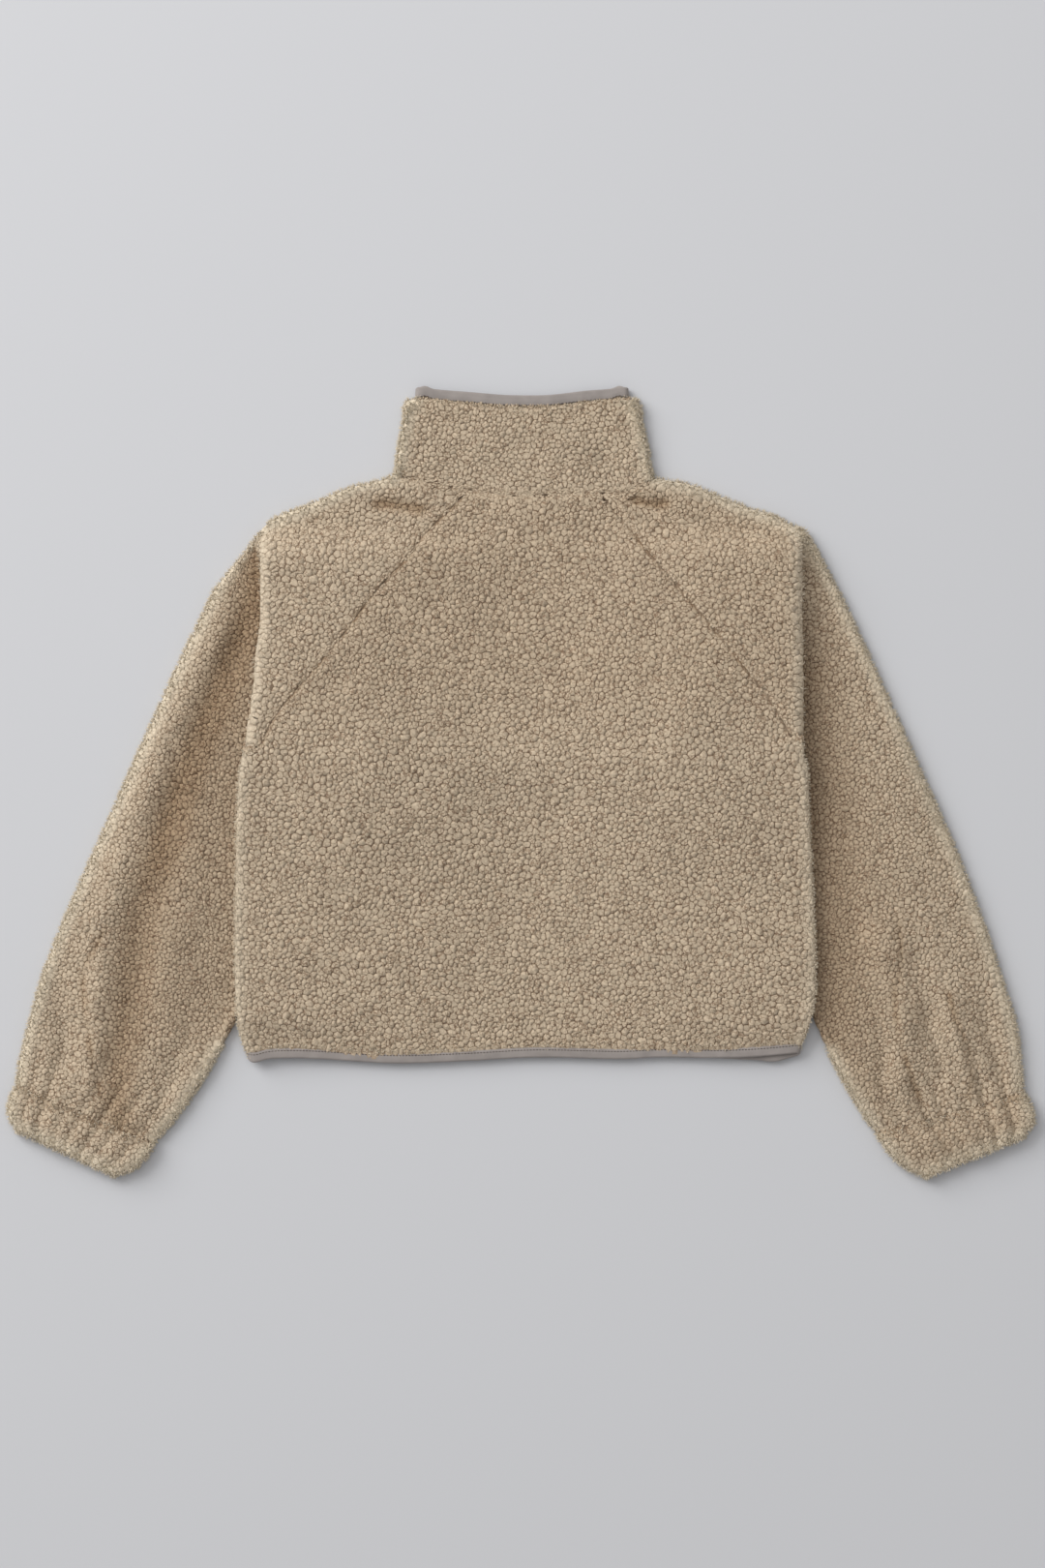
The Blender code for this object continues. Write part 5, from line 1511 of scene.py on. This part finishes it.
# ---- pile over the seams ----------------------------------------------------------------------------------------
def tufts(name, places, ways, runs, length, width, high, seed):
    """Small flattened locks of pile, lying over a seam: lens shapes, each along its own run."""
    rng = np.random.default_rng(seed)
    n = len(places)
    u = unit(runs - ways * np.sum(runs * ways, axis=1, keepdims=True))
    w = np.cross(ways, u)
    turn = rng.normal(0, 0.38, n)[:, None]
    u, w = u * np.cos(turn) + w * np.sin(turn), w * np.cos(turn) - u * np.sin(turn)
    a, b = (rng.uniform(*length, n) / 2)[:, None], (rng.uniform(*width, n) / 2)[:, None]
    h = (rng.uniform(*high, n))[:, None]
    # The locks' lower edge and underside take the crevice colour: partly the pile's darker depth and partly painted
    # shade beneath them.
    points, crevice = [places + ways * h], [np.zeros(n)]
    for part, (share, up, deep) in enumerate(((0.62, 0.78, 0.0), (1.0, -0.25, 0.85))):
        for k in range(7):
            g = k * math.tau / 7 + 0.3
            wob = rng.uniform(0.82, 1.15, n)[:, None]
            points.append(places + (u * a * math.cos(g) + w * b * math.sin(g)) * share * wob + ways * h * up)
            crevice.append(np.full(n, deep))
    points.append(places - ways * h * 1.1)
    crevice.append(np.ones(n))
    points = np.stack(points, axis=1)
    crevice = np.stack(crevice, axis=1)
    one = []
    for k in range(7):
        m = (k + 1) % 7
        one += [(0, 1 + k, 1 + m), (1 + k, 8 + k, 8 + m), (1 + k, 8 + m, 1 + m), (15, 8 + m, 8 + k)]
    faces = (np.array(one)[None] + np.arange(n)[:, None, None] * 16).reshape(-1, 3)
    tone = np.repeat(rng.uniform(0, 1, n), 16)
    data = [crevice.ravel(), np.zeros(n * 16), np.full(n * 16, 0.05), tone]
    points[..., 2] = np.maximum(points[..., 2], 0.05)
    return make(name, points.reshape(-1, 3), faces, data)


def seam_tufts():
    """Locks of pile over the neck seam and over the two raglan seams of the back."""
    rng = np.random.default_rng(700)
    out = {}
    # Neck: a band of flattened pile, combed along the seam.
    n = 520
    x = rng.uniform(-112, 118, n)
    off = rng.normal(0, 3.1, n)
    y = along(COLLAR_SEAM, "y", x, key="x") + off
    slope = (along(COLLAR_SEAM, "y", x + 1, key="x") - along(COLLAR_SEAM, "y", x - 1, key="x")) / 2
    z = HALF + LAYER + WALL / 2 - 0.25 - 0.75 * (1 - ease(abs(off) / 5.0))
    out["neck"] = (np.stack([x, y, z], axis=1), np.tile((0.0, 0.0, 1.0), (n, 1)), np.stack([np.ones(n), slope, 0 * x], axis=1))
    # Over the lower edge of the collar's tape.
    n = 230
    x = rng.uniform(-99, 102, n)
    y = along(COLLAR_TOP, "y", x, key="x") + 1.6 * np.exp(-((x / 62.0) ** 2)) + 6.6 - TAPE_LEG - 0.9 + rng.normal(0, 0.9, n)
    z = np.full(n, HALF + LAYER + LIP / 2 + TAPE - 0.15)
    out["tape"] = (np.stack([x, y, z], axis=1), np.tile((0.0, 0.0, 1.0), (n, 1)), np.stack([0.25 * rng.normal(0, 1, n), np.ones(n), 0 * x], axis=1))
    for side, raglan in (("left", RAGLAN_LEFT), ("right", RAGLAN_RIGHT)):
        sign = SIDES[side]
        n = 130
        y = rng.uniform(raglan["y"][-1] + 4, raglan["y"][0] - 2, n)
        # They come in groups, and between groups the seam shows.
        y = y + 3.2 * np.sin(y / 7.3 + sign)
        off = rng.normal(2.4, 1.6, n)
        x = along(raglan, "x", y) + sign * off
        slope = (along(raglan, "x", y + 1) - along(raglan, "x", y - 1)) / 2
        mid, up = surface(x, y)
        place = mid + up * (LAYER + WALL / 2 - 0.25 - 0.75 * (1 - ease(abs(off) / 5.0)))[:, None]
        place[:, 2] += spare(x, y)
        out[side] = (place, up, np.stack([slope, np.ones(n), 0 * x], axis=1))
        # The end of the seam, round the side fold at the armpit.
        n = 46
        y = ARMPIT[side] - HALF - 0.9 + rng.normal(0, 1.3, n)
        end = along(raglan, "x", raglan["y"][-1])
        x = end + (edge(side, y) + sign * (ROLL - HALF) * 0.6 - end) * rng.uniform(-0.05, 1.0, n)
        mid, way = roll_surface(x, y, 1.0)
        place = mid + way * (LAYER + WALL / 2 - 0.1)
        place[:, 2] += spare(x, y) * np.clip(way[:, 2], 0, 1)
        out["end_" + side] = (place, way, np.tile((0.15 * sign, 1.0, 0.0), (n, 1)))
        # Over the cuff's seam, on the side that shows and round both folds.
        row, ways, on, top = ENDS[side]
        n = 150
        at = rng.uniform(0, np.sum(top > 0.5) + 6, n)
        i = np.clip(at.astype(int), 0, len(row) - 2)
        t = (at - i)[:, None]
        place = row[i] * (1 - t) + row[i + 1] * t + on[i] * rng.normal(0.6, 1.7, n)[:, None] + ways[i] * 0.1
        out["cuff_" + side] = (place, ways[i], on[i] + 0.5 * unit(row[i + 1] - row[i]) * rng.normal(0, 1, n)[:, None])
    return out


# ---- materials ----------------------------------------------------------------------------------------------
def node(tree, kind, **settings):
    n = tree.nodes.new(kind)
    for k, v in settings.items():
        setattr(n, k, v)
    return n


def plush_material(name, base, deep, rim):
    mat = bpy.data.materials.new(name)
    mat.use_nodes = True
    t = mat.node_tree
    link = t.links.new
    shader = t.nodes["Principled BSDF"]
    coords = node(t, "ShaderNodeTexCoord")
    crevice = node(t, "ShaderNodeAttribute", attribute_name="crevice")
    painted_rim_light_attr = node(t, "ShaderNodeAttribute", attribute_name="rim")
    shade = node(t, "ShaderNodeAttribute", attribute_name="shade")
    tone = node(t, "ShaderNodeAttribute", attribute_name="tone")
    # Fine fibres: two noises of well under a curl's size.
    fine = node(t, "ShaderNodeTexNoise")
    fine.inputs["Scale"].default_value = 900.0
    fine.inputs["Detail"].default_value = 3.0
    fine.inputs["Roughness"].default_value = 0.6
    link(coords.outputs["Object"], fine.inputs["Vector"])
    broad = node(t, "ShaderNodeTexNoise")
    broad.inputs["Scale"].default_value = 26.0
    broad.inputs["Detail"].default_value = 3.0
    link(coords.outputs["Object"], broad.inputs["Vector"])
    # Small curls within the curls: cells with thin dark borders, their places bent by a noise. The borders' darkness is
    # partly the pile's own darker depth and partly painted shade.
    warp = node(t, "ShaderNodeTexNoise")
    warp.inputs["Scale"].default_value = 260.0
    link(coords.outputs["Object"], warp.inputs["Vector"])
    centred = node(t, "ShaderNodeVectorMath", operation="SUBTRACT")
    centred.inputs[1].default_value = (0.5, 0.5, 0.5)
    link(warp.outputs["Color"], centred.inputs[0])
    bent = node(t, "ShaderNodeVectorMath", operation="MULTIPLY_ADD")
    bent.inputs[1].default_value = (0.0045, 0.0045, 0.0045)
    link(centred.outputs["Vector"], bent.inputs[0])
    link(coords.outputs["Object"], bent.inputs[2])
    cells = node(t, "ShaderNodeTexVoronoi", feature="DISTANCE_TO_EDGE")
    cells.inputs["Scale"].default_value = 285.0
    link(bent.outputs["Vector"], cells.inputs["Vector"])
    curls = node(t, "ShaderNodeMapRange", interpolation_type="SMOOTHSTEP")
    curls.inputs["From Min"].default_value = 0.0
    curls.inputs["From Max"].default_value = 0.13
    link(cells.outputs["Distance"], curls.inputs["Value"])
    # Colour: tips to crevice, then the patchy tone of the pile, then its rim. The crevices' dark brown is partly the
    # pile's own darker depth and partly painted shade, and the rim's lighter colour is a painted highlight.
    deepness = node(t, "ShaderNodeMath", operation="POWER")
    link(crevice.outputs["Fac"], deepness.inputs[0])
    deepness.inputs[1].default_value = 0.88
    breaks = node(t, "ShaderNodeTexNoise")
    breaks.inputs["Scale"].default_value = 150.0
    breaks.inputs["Detail"].default_value = 1.0
    link(coords.outputs["Object"], breaks.inputs["Vector"])
    broken = node(t, "ShaderNodeMapRange", interpolation_type="SMOOTHSTEP")
    broken.inputs["From Min"].default_value = 0.36
    broken.inputs["From Max"].default_value = 0.60
    broken.inputs["To Min"].default_value = 0.10
    broken.inputs["To Max"].default_value = 0.72
    link(breaks.outputs["Fac"], broken.inputs["Value"])
    open_ = node(t, "ShaderNodeMath", operation="SUBTRACT")
    open_.inputs[0].default_value = 1.0
    link(curls.outputs["Result"], open_.inputs[1])
    cracks = node(t, "ShaderNodeMath", operation="MULTIPLY")
    link(open_.outputs[0], cracks.inputs[0])
    link(broken.outputs["Result"], cracks.inputs[1])
    # Toward the outline the small cracks fade, part of the painted highlight there.
    closed = node(t, "ShaderNodeMath", operation="MULTIPLY_ADD")
    closed.inputs[1].default_value = -0.75
    closed.inputs[2].default_value = 1.0
    link(painted_rim_light_attr.outputs["Fac"], closed.inputs[0])
    cracks2 = node(t, "ShaderNodeMath", operation="MULTIPLY")
    link(cracks.outputs[0], cracks2.inputs[0])
    link(closed.outputs[0], cracks2.inputs[1])
    dark = node(t, "ShaderNodeMath", operation="MAXIMUM")
    link(deepness.outputs[0], dark.inputs[0])
    link(cracks2.outputs[0], dark.inputs[1])
    mix1 = node(t, "ShaderNodeMix", data_type="RGBA")
    mix1.inputs["A"].default_value = (*base, 1)
    mix1.inputs["B"].default_value = (*deep, 1)
    link(dark.outputs[0], mix1.inputs["Factor"])
    value = node(t, "ShaderNodeMapRange")
    value.inputs["From Min"].default_value = 0.0
    value.inputs["From Max"].default_value = 1.0
    value.inputs["To Min"].default_value = 0.96
    value.inputs["To Max"].default_value = 1.04
    link(tone.outputs["Fac"], value.inputs["Value"])
    patch = node(t, "ShaderNodeMapRange")
    patch.inputs["From Min"].default_value = 0.3
    patch.inputs["From Max"].default_value = 0.7
    patch.inputs["To Min"].default_value = 0.965
    patch.inputs["To Max"].default_value = 1.035
    link(broad.outputs["Fac"], patch.inputs["Value"])
    speck = node(t, "ShaderNodeMapRange")
    speck.inputs["From Min"].default_value = 0.25
    speck.inputs["From Max"].default_value = 0.75
    speck.inputs["To Min"].default_value = 0.9
    speck.inputs["To Max"].default_value = 1.1
    link(fine.outputs["Fac"], speck.inputs["Value"])
    m1 = node(t, "ShaderNodeMath", operation="MULTIPLY")
    link(value.outputs["Result"], m1.inputs[0])
    link(patch.outputs["Result"], m1.inputs[1])
    m2 = node(t, "ShaderNodeMath", operation="MULTIPLY")
    link(m1.outputs[0], m2.inputs[0])
    link(speck.outputs["Result"], m2.inputs[1])
    curl_value = node(t, "ShaderNodeMapRange")
    curl_value.inputs["To Min"].default_value = 0.92
    curl_value.inputs["To Max"].default_value = 1.02
    link(curls.outputs["Result"], curl_value.inputs["Value"])
    m3 = node(t, "ShaderNodeMath", operation="MULTIPLY")
    link(m2.outputs[0], m3.inputs[0])
    link(curl_value.outputs["Result"], m3.inputs[1])
    # Painted highlight: toward the outline the colour is lightened to the rim colour.
    rim_mix = node(t, "ShaderNodeMix", data_type="RGBA")
    rim_mix.inputs["B"].default_value = (*rim, 1)
    link(mix1.outputs["Result"], rim_mix.inputs["A"])
    rim_f = node(t, "ShaderNodeMath", operation="MULTIPLY")
    rim_f.inputs[1].default_value = 0.9
    link(painted_rim_light_attr.outputs["Fac"], rim_f.inputs[0])
    link(rim_f.outputs[0], rim_mix.inputs["Factor"])
    final = node(t, "ShaderNodeVectorMath", operation="SCALE")
    link(rim_mix.outputs["Result"], final.inputs[0])
    link(m3.outputs[0], final.inputs["Scale"])
    # Darker and warmer by the shade attribute: painted shade in folds and creases, beside the body's edge, over the
    # upper back, the right yoke and the right cuff, and the dark lines along the seams.
    roots = node(t, "ShaderNodeMix", data_type="RGBA", blend_type="MULTIPLY")
    link(shade.outputs["Fac"], roots.inputs["Factor"])
    link(final.outputs["Vector"], roots.inputs["A"])
    roots.inputs["B"].default_value = (0.58, 0.475, 0.375, 1)
    link(roots.outputs["Result"], shader.inputs["Base Color"])
    curl_bump = node(t, "ShaderNodeBump")
    curl_bump.inputs["Strength"].default_value = 0.5
    curl_bump.inputs["Distance"].default_value = 0.0006
    link(curls.outputs["Result"], curl_bump.inputs["Height"])
    bump = node(t, "ShaderNodeBump")
    bump.inputs["Strength"].default_value = 0.5
    bump.inputs["Distance"].default_value = 0.0005
    link(fine.outputs["Fac"], bump.inputs["Height"])
    link(curl_bump.outputs["Normal"], bump.inputs["Normal"])
    link(bump.outputs["Normal"], shader.inputs["Normal"])
    shader.inputs["Roughness"].default_value = 0.95
    shader.inputs["Specular IOR Level"].default_value = 0.12
    shader.inputs["Sheen Weight"].default_value = 0.12
    shader.inputs["Sheen Roughness"].default_value = 0.5
    shader.inputs["Sheen Tint"].default_value = (1.0, 0.88, 0.74, 1)
    return mat


def tape_material(name, colour):
    mat = bpy.data.materials.new(name)
    mat.use_nodes = True
    t = mat.node_tree
    link = t.links.new
    shader = t.nodes["Principled BSDF"]
    coords = node(t, "ShaderNodeTexCoord")
    wave = node(t, "ShaderNodeTexWave", wave_type="BANDS", bands_direction="DIAGONAL")
    wave.inputs["Scale"].default_value = 420.0
    wave.inputs["Distortion"].default_value = 0.6
    wave.inputs["Detail"].default_value = 1.0
    link(coords.outputs["Object"], wave.inputs["Vector"])
    soft = node(t, "ShaderNodeTexNoise")
    soft.inputs["Scale"].default_value = 70.0
    soft.inputs["Detail"].default_value = 4.0
    link(coords.outputs["Object"], soft.inputs["Vector"])
    ramp = node(t, "ShaderNodeMapRange")
    ramp.inputs["From Min"].default_value = 0.3
    ramp.inputs["From Max"].default_value = 0.7
    ramp.inputs["To Min"].default_value = 0.88
    ramp.inputs["To Max"].default_value = 1.1
    link(soft.outputs["Fac"], ramp.inputs["Value"])
    fine = node(t, "ShaderNodeMapRange")
    fine.inputs["To Min"].default_value = 0.93
    fine.inputs["To Max"].default_value = 1.05
    link(wave.outputs["Fac"], fine.inputs["Value"])
    m = node(t, "ShaderNodeMath", operation="MULTIPLY")
    link(ramp.outputs["Result"], m.inputs[0])
    link(fine.outputs["Result"], m.inputs[1])
    col = node(t, "ShaderNodeVectorMath", operation="SCALE")
    col.inputs[0].default_value = colour
    link(m.outputs[0], col.inputs["Scale"])
    link(col.outputs["Vector"], shader.inputs["Base Color"])
    bump = node(t, "ShaderNodeBump")
    bump.inputs["Strength"].default_value = 0.5
    bump.inputs["Distance"].default_value = 0.0003
    link(wave.outputs["Fac"], bump.inputs["Height"])
    link(bump.outputs["Normal"], shader.inputs["Normal"])
    shader.inputs["Roughness"].default_value = 0.78
    shader.inputs["Specular IOR Level"].default_value = 0.3
    shader.inputs["Sheen Weight"].default_value = 0.12
    shader.inputs["Sheen Roughness"].default_value = 0.5
    return mat


def thread_material(name, colour):
    mat = bpy.data.materials.new(name)
    mat.use_nodes = True
    t = mat.node_tree
    shader = t.nodes["Principled BSDF"]
    coords = node(t, "ShaderNodeTexCoord")
    n = node(t, "ShaderNodeTexNoise")
    n.inputs["Scale"].default_value = 500.0
    t.links.new(coords.outputs["Object"], n.inputs["Vector"])
    r = node(t, "ShaderNodeMapRange")
    r.inputs["To Min"].default_value = 0.75
    r.inputs["To Max"].default_value = 1.2
    t.links.new(n.outputs["Fac"], r.inputs["Value"])
    col = node(t, "ShaderNodeVectorMath", operation="SCALE")
    col.inputs[0].default_value = colour
    t.links.new(r.outputs["Result"], col.inputs["Scale"])
    t.links.new(col.outputs["Vector"], shader.inputs["Base Color"])
    shader.inputs["Roughness"].default_value = 0.7
    return mat


# The deep colour is partly the pile's own darker depth and partly painted shade in its crevices; the rim colour is a
# painted highlight along the outline.
PLUSH = plush_material("plush_pile", (0.582, 0.478, 0.354), (0.165, 0.078, 0.035), (0.76, 0.672, 0.53))
TAPE_MAT = tape_material("tape_twill", (0.32, 0.287, 0.272))
# The loose fibres are coloured lighter than the pile: painted light, standing in for light passing through thin fibres.
FIBRE = thread_material("plush_fibre", (0.75, 0.66, 0.52))
THREAD = thread_material("tape_thread", (0.075, 0.06, 0.052))


# ---- camera, floor and light ------------------------------------------------------------------------------------
def stage():
    cam_data = bpy.data.cameras.new("camera")
    cam = bpy.data.objects.new("camera", cam_data)
    bpy.context.scene.collection.objects.link(cam)
    lens = 90.0
    high = 1.458 * lens / 36.0
    cam_data.lens = lens
    cam_data.sensor_width = 36.0
    cam.location = (0.0014, -0.0004, high + 0.010)
    cam.rotation_euler = (0, 0, 0)
    cam_data.clip_end = 50
    bpy.context.scene.camera = cam

    size = 6.0
    mesh = bpy.data.meshes.new("floor")
    mesh.from_pydata([(-size, -size, 0), (size, -size, 0), (size, size, 0), (-size, size, 0)], [], [(0, 1, 2, 3)])
    floor = bpy.data.objects.new("floor", mesh)
    floor.location.z = -0.0006
    bpy.context.scene.collection.objects.link(floor)
    mat = bpy.data.materials.new("floor_paper")
    mat.use_nodes = True
    t = mat.node_tree
    shader = t.nodes["Principled BSDF"]
    shader.inputs["Roughness"].default_value = 0.9
    shader.inputs["Specular IOR Level"].default_value = 0.1
    shader.inputs["Base Color"].default_value = (0.614, 0.623, 0.652, 1)
    floor.data.materials.append(mat)

    world = bpy.data.worlds.new("studio")
    bpy.context.scene.world = world
    world.use_nodes = True
    bg = world.node_tree.nodes["Background"]
    bg.inputs["Color"].default_value = (1.0, 0.985, 0.965, 1)
    bg.inputs["Strength"].default_value = 0.43

    def area(name, place, aim, size_x, size_y, power, colour):
        data = bpy.data.lights.new(name, "AREA")
        data.shape = "RECTANGLE"
        data.size, data.size_y = size_x, size_y
        data.energy = power
        data.color = colour
        lamp = bpy.data.objects.new(name, data)
        lamp.location = place
        way = Vector(aim) - Vector(place)
        lamp.rotation_euler = way.to_track_quat("-Z", "Y").to_euler()
        bpy.context.scene.collection.objects.link(lamp)

    area("key", (-5.0, 3.9, 3.9), (0, 0, 0), 5.0, 5.0, 475.0, (1.0, 0.992, 0.975))
    area("overhead", (-0.5, 1.3, 3.3), (0, 0, 0), 2.6, 2.6, 22.0, (1.0, 1.0, 1.0))
    bpy.context.scene.view_settings.view_transform = "Standard"
    bpy.context.scene.view_settings.look = "None"


stage()


# ---- the garment -------------------------------------------------------------------------------------------------------
def dress(obj, mat, *nodes, slot="plush"):
    obj.data.materials.append(mat)
    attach(obj, "root")
    if nodes:
        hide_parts(*nodes)
    return obj


back = dress(body_piece("back_body_plush", ("left", "right"), False, CURL, PILE, (2.0, 1.4), 101), PLUSH, "back_body")
fronts = {
    s: dress(body_piece("front_%s_plush" % s, (s,), True, CURL_UNDER, PILE_UNDER, (2.6, 2.0), 110 + i), PLUSH, "front_" + s)
    for i, s in enumerate(SIDES)
}
sleeves = {s: dress(sleeve_piece(s, 120 + i), PLUSH, "sleeve_" + s) for i, s in enumerate(SIDES)}
cuffs = {s: dress(cuff_piece(s, 130 + i), PLUSH, "cuff_" + s) for i, s in enumerate(SIDES)}
collar = dress(collar_piece(140), PLUSH, "collar")
hem, hem_mid, hem_out = hem_tape()
dress(hem, TAPE_MAT, "hem_binding", slot="binding")
top, top_mid, top_out = collar_tape()
dress(top, TAPE_MAT, "collar_binding", slot="binding")
hem_stitch = dress(stitches("hem_stitches", hem_mid[2] * 0.8 + hem_mid[3] * 0.2 + hem_out[1] * TAPE / 2, hem_out[1], 2.9, 2.0, 0.42, 0.0, 1.0), THREAD, slot="binding")
collar_stitch = dress(stitches("collar_stitches", top_mid[1] + top_out[1] * TAPE / 2, top_out[1], 3.4, 2.3, 0.30, 0.0, 1.0), THREAD, slot="binding")

for i, n in enumerate(("back_body", "sleeve_left", "sleeve_right", "cuff_left", "cuff_right", "collar")):
    dress(fuzz(n, 500 + i, 0.62 if n == "back_body" else 1.0), FIBRE)

SEAMS = seam_tufts()
neck_pile = dress(tufts("neck_pile", *SEAMS["neck"], (4.0, 8.5), (1.7, 2.9), (0.35, 0.75), 710), PLUSH)
raglan_pile = dress(tufts("raglan_pile", *[np.concatenate(p) for p in zip(*(SEAMS[k] for k in ("left", "right", "end_left", "end_right")))], (3.0, 6.0), (2.0, 3.6), (0.4, 0.9), 711), PLUSH)

tape_pile = dress(tufts("tape_pile", *SEAMS["tape"], (2.4, 4.6), (1.1, 2.0), (0.5, 1.0), 715), PLUSH)
cuff_pile = {s: dress(tufts("cuff_%s_pile" % s, *SEAMS["cuff_" + s], (3.0, 5.5), (2.2, 3.6), (0.5, 1.1), 712 + i), PLUSH) for i, s in enumerate(SIDES)}

print("triangles", sum(MESHES.values()), MESHES)
